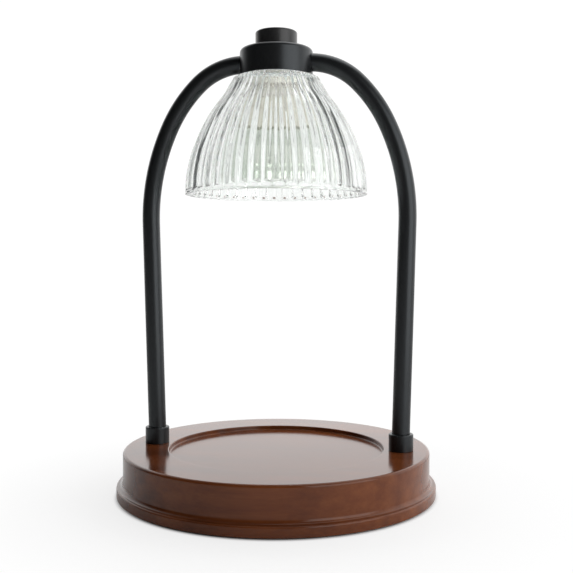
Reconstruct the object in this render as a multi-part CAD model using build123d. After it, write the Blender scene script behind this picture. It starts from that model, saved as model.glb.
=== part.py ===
from build123d import *
import os
from math import cos, degrees, pi, radians, sin, sqrt

# Candle warmer lamp. A tubular arch stands on a turned wooden base and carries a collar with a
# dimmer knob, a ribbed glass shade and a twist-lock reflector bulb, which warms a jar candle
# that stands in the recess of the base.
# Millimetres. X runs from leg to leg, Y to the rear and Z up. The origin is on the table,
# under the middle of the base.

# Gaps and cuts shared by the whole lamp
overrun = 1.0               # how far a cutting tool runs past the face that it cuts
seat_gap = 0.05             # between curved faces that touch
slip_gap = 0.1              # between a fixed piece and the hole that it drops into
turning_gap = 0.3           # between pieces that move past each other
shaft_gap = 0.05            # radial clearance of the turning shaft in its bush
pilot_gap = 0.05            # radial clearance of a screw in its hole, threads left plain

# Base: one turned disc of wood with a stepped rim, hollowed from below
foot_height = 1.0
flange_step = 4.0           # how far the flange stands out from the drum
flange_height = 6.2
flange_edge_radius = 1.1
drum_edge_radius = 1.7
cove_radius = 2.6
base_height = 27.0
recess_radius = 67.6
recess_depth = 2.9
recess_lip_radius = 0.7
recess_corner_radius = 1.0
recess_floor_thickness = 5.0
cavity_wall = 9.0

# Bottom cover, its screws and the pads that the lamp stands on
cover_thickness = 2.0
cover_rebate_width = 6.0
cover_screw_count = 4
cover_screw_radius = 1.4
cover_screw_head_radius = 2.6
cover_screw_head_height = 1.5
cover_screw_length = 10.0
foot_radius = 8.0
foot_count = 4
foot_margin = 5.0           # from the pads to the cavity's wall
corner_angle = 45.0         # where the first pad and the first cover screw are

# Cord inlet in the rear wall of the base
inlet_bore_radius = 3.0
inlet_wall = 0.9
inlet_lip_thickness = 1.2
inlet_lip_height = 0.9
inlet_roof_margin = 0.3     # from the grommet's inner lip up to the cavity's roof

# Terminal block under the base's roof
block_x = 36.0
block_width = 16.0
block_length = 27.0
block_height = 12.0
block_pole_count = 3
block_pole_pitch = 9.0
block_tunnel_radius = 1.3
block_tunnel_height = 9.0   # from the roof down to the tunnels' axis
terminal_screw_radius = 1.7
terminal_screw_length = 5.0
terminal_screw_sink = 0.6
block_screw_radius = 1.2
block_screw_head_radius = 2.1
block_screw_head_height = 1.4
block_screw_bite = 3.2
slot_width = 0.6            # screwdriver slots, all screws
slot_depth = 0.6

# Arch tube, along its centreline: arm, three bends, leaning leg and upright foot
tube_radius = 5.58
tube_wall = 1.5
arm_run = 20.6
shoulder_radius = 42.7
haunch_radius = 89.4
leg_bend_radius = 138.0
shoulder_angle = 44.4       # slope of the tube at the end of each bend, below level
haunch_angle = 64.8
leg_angle = 91.54

# Ferrules and the threaded nipples that hold the legs, threads left plain
ferrule_radius = 7.62
ferrule_height = 10.5
ferrule_floor = 2.0
ferrule_chamfer = 0.6
nipple_wall = 1.6
nipple_bite = 7.5           # height of the nipple inside the tube
nipple_tail = 1.0           # length of the nipple below its nut
leg_washer_radius = 7.2
leg_washer_thickness = 1.2
leg_nut_flats = 12.0
leg_nut_height = 4.0
leg_washer_margin = 1.36    # from the washer to the cavity's wall

# Collar that joins the arms and houses the dimmer
collar_lift = 233.0         # from the top of the base to the underside of the collar
collar_radius = 22.9
collar_height = 17.0
collar_wall = 2.0
collar_edge_radius = 2.4
arm_height = 8.4            # from the underside of the collar to the arms' axis
spigot_gap = 0.4
spigot_wall = 1.6
spigot_bite = 3.4
spigot_head_radius = 5.2
spigot_head_thickness = 2.6

# Carrier plate and neck under the collar, and its screws
carrier_thickness = 1.6
neck_radius = 14.0
neck_wall = 1.3
neck_length = 9.2
carrier_screw_angles = (90.0, 225.0, 315.0)
carrier_screw_radius = 1.2
carrier_screw_head_radius = 2.2
carrier_screw_head_height = 1.1
carrier_screw_length = 9.0
carrier_screw_circle = 17.8
boss_radius = 3.4

# Glass shade with its two gaskets and the ring nut that holds it
gasket_thickness = 0.6
glass_height = 73.5
glass_plate_thickness = 3.4
glass_wall = 2.1           # behind the grooves, at the rim
glass_rim_radius = 57.3
glass_lip_height = 1.2
glass_lip_stand = 0.2       # how far the plain lip stands proud of the ribs
glass_hole_gap = 0.6
rib_count = 48
rib_rise_share = 0.034      # rise of a rib over its grooves, as a share of the radius there
rib_falls = (0.0, 1.0, 1.0, 0.0)    # fall from the crest at each corner of a rib, as shares of the rise
# The ribbed bell's outline from the plain lip up to the top: heights as shares of its own
# height, and the radius of the rib crests as shares of their radius at the lip
bell_height_shares = (0.0, 0.108, 0.217, 0.328, 0.439, 0.550, 0.661, 0.758, 0.845, 0.923, 1.0)
bell_radius_shares = (1.0, 0.993, 0.972, 0.937, 0.886, 0.824, 0.747, 0.663, 0.578, 0.521, 0.464)
ring_nut_radius = 19.5
ring_nut_height = 3.5
ring_nut_notches = 24
ring_nut_notch_radius = 0.7

# Ceramic lampholder, its bracket, screws and contacts
holder_gap = 0.3
holder_height = 16.3
holder_edge = 0.8
land_thickness = 2.9        # the lip that the bulb's pin heads hook over
pin_circle_radius = 5.0
pin_chamber_height = 4.4
twist_angle = 20.0
pocket_depth = 4.6
pocket_half_width = 7.3
pocket_front = 1.8
pocket_rear = 6.8
bracket_thickness = 0.8
bracket_edge_gap = 0.6
holder_screw_x = 7.5
holder_screw_y = -6.5
holder_screw_radius = 1.25
holder_screw_head_radius = 2.4
holder_screw_head_height = 1.6
holder_screw_length = 8.0
contact_width = 2.6
contact_thickness = 0.8
lamp_lead_y = 5.0
lamp_lead_radius = 0.9

# Reflector bulb with a two-pin twist base
bulb_length = 51.0
bulb_face_radius = 25.0
bulb_rim_height = 2.6
bulb_rim_step = 0.7
bulb_bowl_mid_radius = 19.8
bulb_bowl_mid_height = 15.0  # from the bulb's face up to the middle of the bowl
bulb_glass_wall = 1.5
bulb_base_radius = 11.8
bulb_base_waist_radius = 10.2
bulb_base_height = 18.0
bulb_base_step = 7.0
bulb_base_edge = 0.8
bulb_neck_radius = 8.6
bulb_neck_height = 9.0
bulb_lens_thickness = 1.8
bulb_lens_inset = 0.8
capsule_radius = 4.3
capsule_length = 27.0
pin_radius = 1.5
pin_head_radius = 2.5
pin_head_height = 2.2

# Dimmer with its bush, washer, nut, shaft and knob
dimmer_radius = 8.5
dimmer_height = 8.4
bush_radius = 4.4
bush_stand = 3.3            # height of the bush above the collar
bush_root = 3.6             # length of the bush inside the dimmer's body
dimmer_washer_radius = 7.2
dimmer_washer_thickness = 0.7
dimmer_nut_flats = 11.0
dimmer_nut_height = 2.0
shaft_radius = 3.0
shaft_flat = 2.2            # from the shaft's axis to its flat
shaft_sink = 4.2            # depth of the shaft in the dimmer's body
shaft_bite = 5.6            # depth of the shaft in the knob's hub
lug_length = 3.6
lug_width = 1.6
lug_thickness = 0.6
lug_pitch = 3.0
lamp_lug_length = 1.4
lamp_lug_root = 3.6         # length of a lamp lug inside the dimmer's body
knob_radius = 13.1
knob_height = 10.6
knob_wall = 1.6
knob_roof = 1.8
knob_edge_radius = 1.2
knob_hub_radius = 5.0
knob_hub_gap = 0.4
pointer_width = 1.0
pointer_depth = 0.4
pointer_margin = 2.0

# Lead from the terminal block through the right leg and arm to the dimmer
lead_radius = 1.4
lead_floor_gap = 0.5
lead_leg_bend = 8.4
lead_dip_bend = 9.0
lead_dip_angle = 24.0

# Levels worked out from the sizes above
flange_top_z = foot_height + flange_height
base_top_z = foot_height + base_height
recess_floor_z = base_top_z - recess_depth
cavity_roof_z = recess_floor_z - recess_floor_thickness
collar_bottom_z = base_top_z + collar_lift
collar_top_z = collar_bottom_z + collar_height
collar_bore_radius = collar_radius - collar_wall
arm_z = collar_bottom_z + arm_height
glass_top_z = collar_bottom_z - gasket_thickness
glass_rim_z = glass_top_z - glass_height
plate_bottom_z = glass_top_z - glass_plate_thickness
ring_nut_top_z = plate_bottom_z - gasket_thickness
carrier_top_z = collar_bottom_z + carrier_thickness
bracket_top_z = carrier_top_z + bracket_thickness
holder_bottom_z = carrier_top_z - holder_height
land_top_z = holder_bottom_z + land_thickness
chamber_top_z = land_top_z + pin_chamber_height
pocket_floor_z = carrier_top_z - pocket_depth
bulb_top_z = holder_bottom_z - turning_gap
bulb_face_z = bulb_top_z - bulb_length
dimmer_top_z = collar_top_z - collar_wall
dimmer_bottom_z = dimmer_top_z - dimmer_height
bush_top_z = collar_top_z + bush_stand
knob_bottom_z = collar_top_z + turning_gap
knob_top_z = knob_bottom_z + knob_height
knob_roof_z = knob_top_z - knob_roof
hub_bottom_z = bush_top_z + knob_hub_gap


def disc(radius, bottom, top, x=0, y=0):
    """An upright cylinder between two levels."""
    return Pos(x, y, bottom) * Cylinder(radius, top - bottom, align=(Align.CENTER, Align.CENTER, Align.MIN))


def tube_piece(outer, inner, bottom, top, x=0, y=0):
    """An upright ring between two levels."""
    return disc(outer, bottom, top, x, y) - disc(inner, bottom - overrun, top + overrun, x, y)


def cone(bottom_radius, top_radius, bottom, top, x=0, y=0):
    """An upright cone frustum between two levels."""
    shape = Cone(bottom_radius, top_radius, top - bottom, align=(Align.CENTER, Align.CENTER, Align.MIN))
    return Pos(x, y, bottom) * shape


def block(width, length, bottom, top, x=0, y=0):
    """An upright box between two levels, centred on x and y."""
    shape = Box(width, length, top - bottom, align=(Align.CENTER, Align.CENTER, Align.MIN))
    return Pos(x, y, bottom) * shape


def turned(outline):
    """The solid that a closed outline, radius against height, makes when turned about Z."""
    return revolve(make_face(outline.edges()), Axis.Z)


def turned_points(points):
    """A turned solid whose outline has straight sides."""
    with BuildLine(Plane.XZ) as outline:
        Polyline(*points, close=True)
    return turned(outline.line)


def on_circle(radius, angle):
    """The x and y of a point on a circle about the lamp's axis."""
    return radius * cos(radians(angle)), radius * sin(radians(angle))


def slot(bottom, top, x, y, reach):
    """A screwdriver slot's cutter."""
    return block(reach, slot_width, bottom, top, x, y)


def group(solids):
    """Several separate solids as one node."""
    return Compound(children=[solid for solid in solids])


def arch_profile():
    """Where each bend of the arch ends and how long the leaning leg is, by tangent arcs."""
    x, z, angle = arm_run, arm_z, 0.0
    bends = ((shoulder_radius, shoulder_angle), (haunch_radius, haunch_angle), (leg_bend_radius, leg_angle))
    for radius, end_angle in bends:
        x += radius * (sin(radians(end_angle)) - sin(radians(angle)))
        z -= radius * (cos(radians(angle)) - cos(radians(end_angle)))
        angle = end_angle
    lean = radians(leg_angle) - pi / 2
    foot_z = base_top_z + ferrule_height
    drop = z - foot_z - leg_bend_radius * sin(lean)
    leg_length = drop / cos(lean)
    foot_x = x - leg_length * sin(lean) - leg_bend_radius * (1 - cos(lean))
    return leg_length, foot_x, foot_z


leg_length, leg_x, leg_foot_z = arch_profile()
leg_lean = leg_angle - degrees(pi / 2)

# The base's radii follow the legs, so that their nuts stay inside its wall
cavity_radius = leg_x + leg_washer_radius + leg_washer_margin
drum_radius = cavity_radius + cavity_wall
flange_radius = drum_radius + flange_step
foot_circle_radius = cavity_radius - foot_margin - foot_radius


def add_arch_run(start_x):
    """Draw the arch's centreline from start_x on the arm to where the leg stands upright."""
    line = Line((start_x, arm_z), (arm_run, arm_z))
    shoulder = JernArc(line @ 1, line % 1, shoulder_radius, -shoulder_angle)
    haunch = JernArc(shoulder @ 1, shoulder % 1, haunch_radius, shoulder_angle - haunch_angle)
    bend = JernArc(haunch @ 1, haunch % 1, leg_bend_radius, haunch_angle - leg_angle)
    leg = Line(bend @ 1, bend @ 1 + (bend % 1) * leg_length)
    return JernArc(leg @ 1, leg % 1, leg_bend_radius, leg_lean)


def swept(path, radius):
    """A round bar of one radius along a path."""
    return sweep(Plane(origin=path @ 0, z_dir=path % 0) * Circle(radius), path=path)


def cope(radius):
    """The upright cylinder about the lamp's axis that trims an arm's end."""
    return disc(radius, collar_bottom_z - overrun, collar_top_z + overrun)


# Base body
def make_base_body():
    rim_z = flange_top_z - flange_edge_radius
    with BuildLine(Plane.XZ) as outline:
        Polyline((0, foot_height), (flange_radius, foot_height), (flange_radius, rim_z))
        CenterArc((flange_radius - flange_edge_radius, rim_z), flange_edge_radius, 0, 90)
        Line((flange_radius - flange_edge_radius, flange_top_z), (drum_radius + cove_radius, flange_top_z))
        CenterArc((drum_radius + cove_radius, flange_top_z + cove_radius), cove_radius, 180, 90)
        Line((drum_radius, flange_top_z + cove_radius), (drum_radius, base_top_z - drum_edge_radius))
        CenterArc((drum_radius - drum_edge_radius, base_top_z - drum_edge_radius), drum_edge_radius, 0, 90)
        Polyline((drum_radius - drum_edge_radius, base_top_z), (0, base_top_z), (0, foot_height))
    body = turned(outline.line)

    corner = recess_corner_radius
    lip = recess_lip_radius
    with BuildLine(Plane.XZ) as hollow:
        Line((0, recess_floor_z), (recess_radius - corner, recess_floor_z))
        CenterArc((recess_radius - corner, recess_floor_z + corner), corner, -90, 90)
        Line((recess_radius, recess_floor_z + corner), (recess_radius, base_top_z - lip))
        CenterArc((recess_radius + lip, base_top_z - lip), lip, 180, -90)
        Polyline((recess_radius + lip, base_top_z), (recess_radius + lip, base_top_z + overrun),
                 (0, base_top_z + overrun), (0, recess_floor_z))
    body -= turned(hollow.line)

    body -= disc(cavity_radius, foot_height - overrun, cavity_roof_z)
    body -= disc(cavity_radius + cover_rebate_width, foot_height - overrun, foot_height + cover_thickness)
    for x, y in cover_screw_places():
        pilot_top = foot_height + cover_screw_length + overrun
        body -= disc(cover_screw_radius + pilot_gap, foot_height, pilot_top, x, y)
    for x in (-leg_x, leg_x):
        body -= disc(nipple_radius + slip_gap, foot_height, base_top_z + overrun, x)
    for y in block_screw_places():
        body -= disc(block_screw_radius + pilot_gap, foot_height, cavity_roof_z + block_screw_bite + slip_gap,
                     block_x, y)
    body -= inlet_cylinder(inlet_hole_radius, cavity_radius - cavity_wall, flange_radius)
    body -= inlet_cylinder(inlet_lip_radius + slip_gap, inlet_seat_y, flange_radius + overrun)
    return body


# Cord inlet grommet
inlet_hole_radius = inlet_bore_radius + inlet_wall
inlet_lip_radius = inlet_hole_radius + inlet_lip_height
inlet_z = cavity_roof_z - inlet_roof_margin - inlet_lip_radius
inlet_seat_y = sqrt(drum_radius ** 2 - inlet_lip_radius ** 2) - inlet_lip_thickness
inlet_inner_y = sqrt(cavity_radius ** 2 - inlet_lip_radius ** 2) - seat_gap


def inlet_cylinder(radius, start_y, end_y):
    """A cylinder on the cord inlet's axis between two distances from the lamp's axis."""
    shape = Cylinder(radius, end_y - start_y, align=(Align.CENTER, Align.CENTER, Align.MIN))
    return Pos(0, start_y, inlet_z) * Rot(-90, 0, 0) * shape


def make_cord_grommet():
    body = inlet_cylinder(inlet_hole_radius - seat_gap, inlet_inner_y - inlet_lip_thickness, inlet_seat_y)
    body += inlet_cylinder(inlet_lip_radius, inlet_seat_y, inlet_seat_y + inlet_lip_thickness)
    body += inlet_cylinder(inlet_lip_radius, inlet_inner_y - inlet_lip_thickness, inlet_inner_y)
    bore_start = inlet_inner_y - inlet_lip_thickness - overrun
    return body - inlet_cylinder(inlet_bore_radius, bore_start, inlet_seat_y + inlet_lip_thickness + overrun)


# Bottom cover, its screws and the feet
def cover_screw_places():
    circle_radius = cavity_radius + cover_rebate_width / 2
    step = 360 / cover_screw_count
    return [on_circle(circle_radius, corner_angle + step * i) for i in range(cover_screw_count)]


def countersunk_screw(radius, head_radius, head_height, length, x, y, head_z):
    """A countersunk screw that points up, with the face of its flat head at head_z."""
    screw = cone(head_radius, radius, head_z, head_z + head_height, x, y)
    screw += disc(radius, head_z, head_z + length, x, y)
    return screw - slot(head_z - overrun, head_z + slot_depth, x, y, 3 * head_radius)


def make_bottom_cover():
    cover = disc(cavity_radius + cover_rebate_width - slip_gap, foot_height, foot_height + cover_thickness)
    for x, y in cover_screw_places():
        cover -= disc(cover_screw_radius + slip_gap, foot_height - overrun, base_top_z, x, y)
        cover -= cone(cover_screw_head_radius + slip_gap, cover_screw_radius + slip_gap,
                      foot_height, foot_height + cover_screw_head_height, x, y)
    return cover


def make_cover_screws():
    return group([countersunk_screw(cover_screw_radius, cover_screw_head_radius, cover_screw_head_height,
                                    cover_screw_length, x, y, foot_height)
                  for x, y in cover_screw_places()])


def make_foot_pads():
    step = 360 / foot_count
    places = [on_circle(foot_circle_radius, corner_angle + step * i) for i in range(foot_count)]
    return group([disc(foot_radius, 0, foot_height, x, y) for x, y in places])


# Terminal block and its screws
block_bottom_z = cavity_roof_z - block_height
tunnel_z = cavity_roof_z - block_tunnel_height


def pole_places():
    return [block_pole_pitch * (i - (block_pole_count - 1) / 2) for i in range(block_pole_count)]


def block_screw_places():
    return [block_pole_pitch * (i - (block_pole_count - 2) / 2) for i in range(block_pole_count - 1)]


def make_terminal_block():
    body = block(block_width, block_length, block_bottom_z, cavity_roof_z, block_x)
    for y in pole_places():
        tunnel = Cylinder(block_tunnel_radius, block_width + overrun)
        body -= Pos(block_x, y, tunnel_z) * Rot(0, 90, 0) * tunnel
        body -= disc(terminal_screw_radius + pilot_gap, block_bottom_z - overrun, tunnel_z, block_x, y)
    for y in block_screw_places():
        body -= disc(block_screw_radius + slip_gap, block_bottom_z - overrun, cavity_roof_z + overrun,
                     block_x, y)
    return body


def make_terminal_screws():
    screws = []
    for y in pole_places():
        bottom = block_bottom_z + terminal_screw_sink
        top = min(bottom + terminal_screw_length, tunnel_z)
        screw = disc(terminal_screw_radius, bottom, top, block_x, y)
        reach = 3 * terminal_screw_radius
        screws.append(screw - slot(bottom - overrun, bottom + slot_depth, block_x, y, reach))
    return group(screws)


def make_block_screws():
    screws = []
    for y in block_screw_places():
        head_bottom = block_bottom_z - block_screw_head_height
        screw = disc(block_screw_head_radius, head_bottom, block_bottom_z, block_x, y)
        screw += disc(block_screw_radius, block_bottom_z, cavity_roof_z + block_screw_bite, block_x, y)
        reach = 3 * block_screw_head_radius
        screws.append(screw - slot(head_bottom - overrun, head_bottom + slot_depth, block_x, y, reach))
    return group(screws)


# Legs: ferrules, nipples, washers and nuts
tube_bore_radius = tube_radius - tube_wall
nipple_radius = tube_bore_radius - slip_gap
nipple_bore_radius = nipple_radius - nipple_wall
tube_end_z = base_top_z + ferrule_floor
washer_bottom_z = cavity_roof_z - leg_washer_thickness
nut_bottom_z = washer_bottom_z - leg_nut_height
nipple_bottom_z = nut_bottom_z - nipple_tail


def make_ferrule(side):
    bore = tube_radius + seat_gap
    top = base_top_z + ferrule_height
    chamfer = ferrule_chamfer
    ferrule = turned_points(((nipple_radius + slip_gap, base_top_z), (ferrule_radius, base_top_z),
                             (ferrule_radius, top - chamfer), (ferrule_radius - chamfer, top),
                             (bore + chamfer, top), (bore, top - chamfer),
                             (bore, tube_end_z), (nipple_radius + slip_gap, tube_end_z)))
    return Pos(side * leg_x, 0, 0) * ferrule


def make_leg_nipples():
    top = tube_end_z + nipple_bite
    return group([tube_piece(nipple_radius, nipple_bore_radius, nipple_bottom_z, top, side * leg_x)
                  for side in (-1, 1)])


def make_leg_washers():
    return group([tube_piece(leg_washer_radius, nipple_radius + slip_gap, washer_bottom_z, cavity_roof_z,
                             side * leg_x) for side in (-1, 1)])


def hex_nut(flats, bore, bottom, top, x=0, y=0):
    """A hexagon nut between two levels, flats across the sides."""
    body = extrude(Pos(x, y, bottom) * RegularPolygon(flats / 2, 6, major_radius=False), top - bottom)
    return body - disc(bore, bottom - overrun, top + overrun, x, y)


def make_leg_nuts():
    bore = nipple_radius + pilot_gap
    return group([hex_nut(leg_nut_flats, bore, nut_bottom_z, washer_bottom_z, side * leg_x)
                  for side in (-1, 1)])


# Arch tubes and the hollow spigots that hold their arms to the collar
def make_arch_tube(side):
    with BuildLine(Plane.XZ) as centre:
        foot = add_arch_run(collar_bore_radius / 2)
        Line(foot @ 1, (leg_x, tube_end_z))
    path = centre.wire()
    tube = swept(path, tube_radius) - swept(path, tube_bore_radius)
    tube -= cope(collar_radius + seat_gap)
    return tube if side > 0 else tube.mirror(Plane.YZ)


spigot_radius = tube_bore_radius - spigot_gap
spigot_bore_radius = spigot_radius - spigot_wall


def arm_cylinder(radius, start_x, end_x):
    """A level cylinder on the right arm's axis."""
    shape = Cylinder(radius, end_x - start_x, align=(Align.CENTER, Align.CENTER, Align.MIN))
    return Pos(start_x, 0, arm_z) * Rot(0, 90, 0) * shape


def make_arm_spigots():
    inner_x = collar_bore_radius - spigot_head_thickness
    head = arm_cylinder(spigot_head_radius, inner_x, collar_radius) & cope(collar_bore_radius - seat_gap)
    spigot = head + arm_cylinder(spigot_radius, inner_x, collar_radius + spigot_bite)
    spigot -= arm_cylinder(spigot_bore_radius, inner_x - overrun, collar_radius + spigot_bite + overrun)
    return group([spigot, spigot.mirror(Plane.YZ)])


# Collar
def boss_places():
    return [on_circle(carrier_screw_circle, angle) for angle in carrier_screw_angles]


def make_collar_housing():
    edge = collar_edge_radius
    with BuildLine(Plane.XZ) as outline:
        Polyline((collar_bore_radius, collar_bottom_z), (collar_radius, collar_bottom_z),
                 (collar_radius, collar_top_z - edge))
        CenterArc((collar_radius - edge, collar_top_z - edge), edge, 0, 90)
        Polyline((collar_radius - edge, collar_top_z), (bush_radius + slip_gap, collar_top_z),
                 (bush_radius + slip_gap, dimmer_top_z), (collar_bore_radius, dimmer_top_z),
                 (collar_bore_radius, collar_bottom_z))
    collar = turned(outline.line)
    for x, y in boss_places():
        boss = disc(boss_radius, bracket_top_z, dimmer_top_z + collar_wall / 2, x, y)
        collar += boss & disc(collar_radius - collar_wall / 2, collar_bottom_z, collar_top_z)
    for x, y in boss_places():
        hole_top = collar_bottom_z + carrier_screw_length + overrun
        collar -= disc(carrier_screw_radius + pilot_gap, collar_bottom_z, hole_top, x, y)
    for turn in (0, 180):
        collar -= Rot(0, 0, turn) * arm_cylinder(spigot_radius + slip_gap, collar_bore_radius / 2,
                                                 collar_radius + overrun)
    return collar


# Carrier plate with its neck, and its screws
def make_shade_carrier():
    plate = disc(collar_bore_radius - slip_gap, collar_bottom_z, carrier_top_z)
    neck = disc(neck_radius, collar_bottom_z - neck_length, collar_bottom_z)
    carrier = plate + neck
    carrier -= disc(neck_radius - neck_wall, collar_bottom_z - neck_length - overrun, carrier_top_z + overrun)
    for x, y in boss_places():
        hole_radius = carrier_screw_radius + slip_gap
        carrier -= disc(hole_radius, collar_bottom_z - overrun, carrier_top_z + overrun, x, y)
        carrier -= cone(carrier_screw_head_radius + slip_gap, hole_radius,
                        collar_bottom_z, collar_bottom_z + carrier_screw_head_height, x, y)
    return carrier


def make_carrier_screws():
    return group([countersunk_screw(carrier_screw_radius, carrier_screw_head_radius,
                                    carrier_screw_head_height, carrier_screw_length, x, y, collar_bottom_z)
                  for x, y in boss_places()])


# Glass shade, gaskets and ring nut
gasket_bore_radius = neck_radius + slip_gap
bell_bottom_z = glass_rim_z + glass_lip_height
bell_heights = [bell_bottom_z + share * (glass_top_z - bell_bottom_z) for share in bell_height_shares]
bell_radii = [share * (glass_rim_radius - glass_lip_stand) for share in bell_radius_shares]


def rib_section(radius, level):
    """A closed wavy outline made of flats: a rib's back, a groove's floor and the sides between.

    The backs stand at the radius and the floors lie below it by the rise.
    """
    corner_count = rib_count * len(rib_falls)
    points = []
    for i in range(corner_count):
        fall = rib_rise_share * rib_falls[i % len(rib_falls)]
        points.append(on_circle(radius * (1 - fall), 360 * (i + 0.5) / corner_count))
    with BuildLine(Plane.XY.offset(level)) as outline:
        Polyline(*points, close=True)
    return make_face(outline.edges())


def make_glass_shade():
    sections = [rib_section(radius, level) for radius, level in zip(bell_radii, bell_heights)]
    bell = loft(sections)
    bell += disc(glass_rim_radius, glass_rim_z, bell_bottom_z)
    inset = glass_wall + rib_rise_share * glass_rim_radius
    inner = [(radius - inset, level) for radius, level in zip(bell_radii, bell_heights)
             if level < plate_bottom_z]
    with BuildLine(Plane.XZ) as hollow:
        Polyline((0, plate_bottom_z), (0, glass_rim_z - overrun), (inner[0][0], glass_rim_z - overrun),
                 inner[0])
        wall = Spline(*inner)
        Polyline(wall @ 1, (inner[-1][0], plate_bottom_z), (0, plate_bottom_z))
    bell -= turned(hollow.line)
    return bell - disc(neck_radius + glass_hole_gap, plate_bottom_z - overrun, glass_top_z + overrun)


def make_upper_gasket():
    return tube_piece(collar_radius - slip_gap, gasket_bore_radius, glass_top_z, collar_bottom_z)


def make_lower_gasket():
    return tube_piece(ring_nut_radius - slip_gap, gasket_bore_radius, ring_nut_top_z, plate_bottom_z)


def make_ring_nut():
    bottom = ring_nut_top_z - ring_nut_height
    nut = tube_piece(ring_nut_radius, neck_radius + seat_gap, bottom, ring_nut_top_z)
    for i in range(ring_nut_notches):
        x, y = on_circle(ring_nut_radius, 360 / ring_nut_notches * i)
        nut -= disc(ring_nut_notch_radius, bottom - overrun, ring_nut_top_z + overrun, x, y)
    return nut


# Lampholder, bracket, screws, contacts and lamp leads
holder_radius = neck_radius - neck_wall - holder_gap


def holder_screw_places():
    return [(side * holder_screw_x, holder_screw_y) for side in (-1, 1)]


def pin_slot(radius, bottom, top):
    """The curved slot that a round pin of this radius sweeps, on both sides of the axis."""
    arc = CenterArc((0, 0, bottom), pin_circle_radius, -twist_angle, twist_angle)
    sides = disc(pin_circle_radius + radius, bottom, top) - disc(pin_circle_radius - radius, bottom, top)
    corner = on_circle(3 * holder_radius, -twist_angle)
    wedge = extrude(Pos(0, 0, bottom) * make_face(Polyline((0, 0), (3 * holder_radius, 0), corner, (0, 0))),
                    top - bottom)
    cutter = sides & wedge
    for point in (arc @ 0, arc @ 1):
        cutter += disc(radius, bottom, top, point.X, point.Y)
    return cutter + Rot(0, 0, 180) * cutter


def make_lampholder_body():
    body = disc(holder_radius, holder_bottom_z, carrier_top_z)
    body = chamfer(body.edges().group_by(Axis.Z)[0], holder_edge)
    open_gap = turning_gap
    body -= pin_slot(pin_radius + open_gap, holder_bottom_z - overrun, land_top_z + overrun)
    body -= pin_slot(pin_head_radius + open_gap, land_top_z, chamber_top_z)
    for side in (-1, 1):
        x, y = on_circle(side * pin_circle_radius, -twist_angle)
        body -= disc(pin_head_radius + open_gap, holder_bottom_z - overrun, land_top_z + overrun, x, y)
        body -= block(contact_thickness + 2 * slip_gap, contact_width + slip_gap, land_top_z, carrier_top_z,
                      side * pin_circle_radius)
    body -= block(2 * pocket_half_width, pocket_rear + pocket_front, pocket_floor_z, carrier_top_z + overrun,
                  0, (pocket_rear - pocket_front) / 2)
    for x, y in holder_screw_places():
        bottom = bracket_top_z - holder_screw_length - slip_gap
        body -= disc(holder_screw_radius + pilot_gap, bottom, carrier_top_z + overrun, x, y)
    return body


def make_lampholder_contacts():
    contacts = []
    blade_bottom = land_top_z + turning_gap + pin_head_height + turning_gap
    strip_top = pocket_floor_z + contact_thickness
    for side in (-1, 1):
        x = side * pin_circle_radius
        blade = block(contact_thickness, contact_width, blade_bottom, strip_top, x)
        length = lamp_lead_y + lamp_lead_radius + contact_width / 2
        strip = block(contact_width, length, pocket_floor_z, strip_top, x, length / 2 - contact_width / 2)
        contacts.append(blade + strip)
    return group(contacts)


def make_lamp_leads():
    bottom = pocket_floor_z + contact_thickness
    top = dimmer_bottom_z - lamp_lug_length
    return group([disc(lamp_lead_radius, bottom, top, side * pin_circle_radius, lamp_lead_y)
                  for side in (-1, 1)])


def make_lampholder_bracket():
    holes = [(carrier_screw_radius, x, y) for x, y in boss_places()]
    holes += [(holder_screw_radius, x, y) for x, y in holder_screw_places()]
    holes += [(lamp_lead_radius, side * pin_circle_radius, lamp_lead_y) for side in (-1, 1)]
    bracket = disc(collar_bore_radius - bracket_edge_gap, carrier_top_z, bracket_top_z)
    for radius, x, y in holes:
        bracket -= disc(radius + slip_gap, carrier_top_z - overrun, bracket_top_z + overrun, x, y)
    return bracket


def make_lampholder_screws():
    screws = []
    for x, y in holder_screw_places():
        top = bracket_top_z + holder_screw_head_height
        screw = disc(holder_screw_head_radius, bracket_top_z, top, x, y)
        screw += disc(holder_screw_radius, bracket_top_z - holder_screw_length, bracket_top_z, x, y)
        screws.append(screw - slot(top - slot_depth, top + overrun, x, y, 3 * holder_screw_head_radius))
    return group(screws)


# Bulb
bulb_base_bottom_z = bulb_top_z - bulb_base_height
bulb_neck_top_z = bulb_base_bottom_z + bulb_neck_height
bulb_rim_z = bulb_face_z + bulb_rim_height
bulb_seat_radius = bulb_face_radius - bulb_rim_step - bulb_glass_wall


def make_bulb_base():
    step_z = bulb_top_z - bulb_base_step
    bore = bulb_neck_radius + seat_gap
    edge = bulb_base_edge
    body = turned_points(((0, bulb_top_z), (0, bulb_neck_top_z), (bore, bulb_neck_top_z),
                          (bore, bulb_base_bottom_z), (bulb_base_radius, bulb_base_bottom_z),
                          (bulb_base_waist_radius, step_z), (bulb_base_radius, step_z + edge),
                          (bulb_base_radius, bulb_top_z - edge), (bulb_base_radius - edge, bulb_top_z)))
    for x in (-pin_circle_radius, pin_circle_radius):
        body -= disc(pin_radius + pilot_gap, bulb_top_z - pin_head_height, bulb_top_z + overrun, x)
    return body


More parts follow.
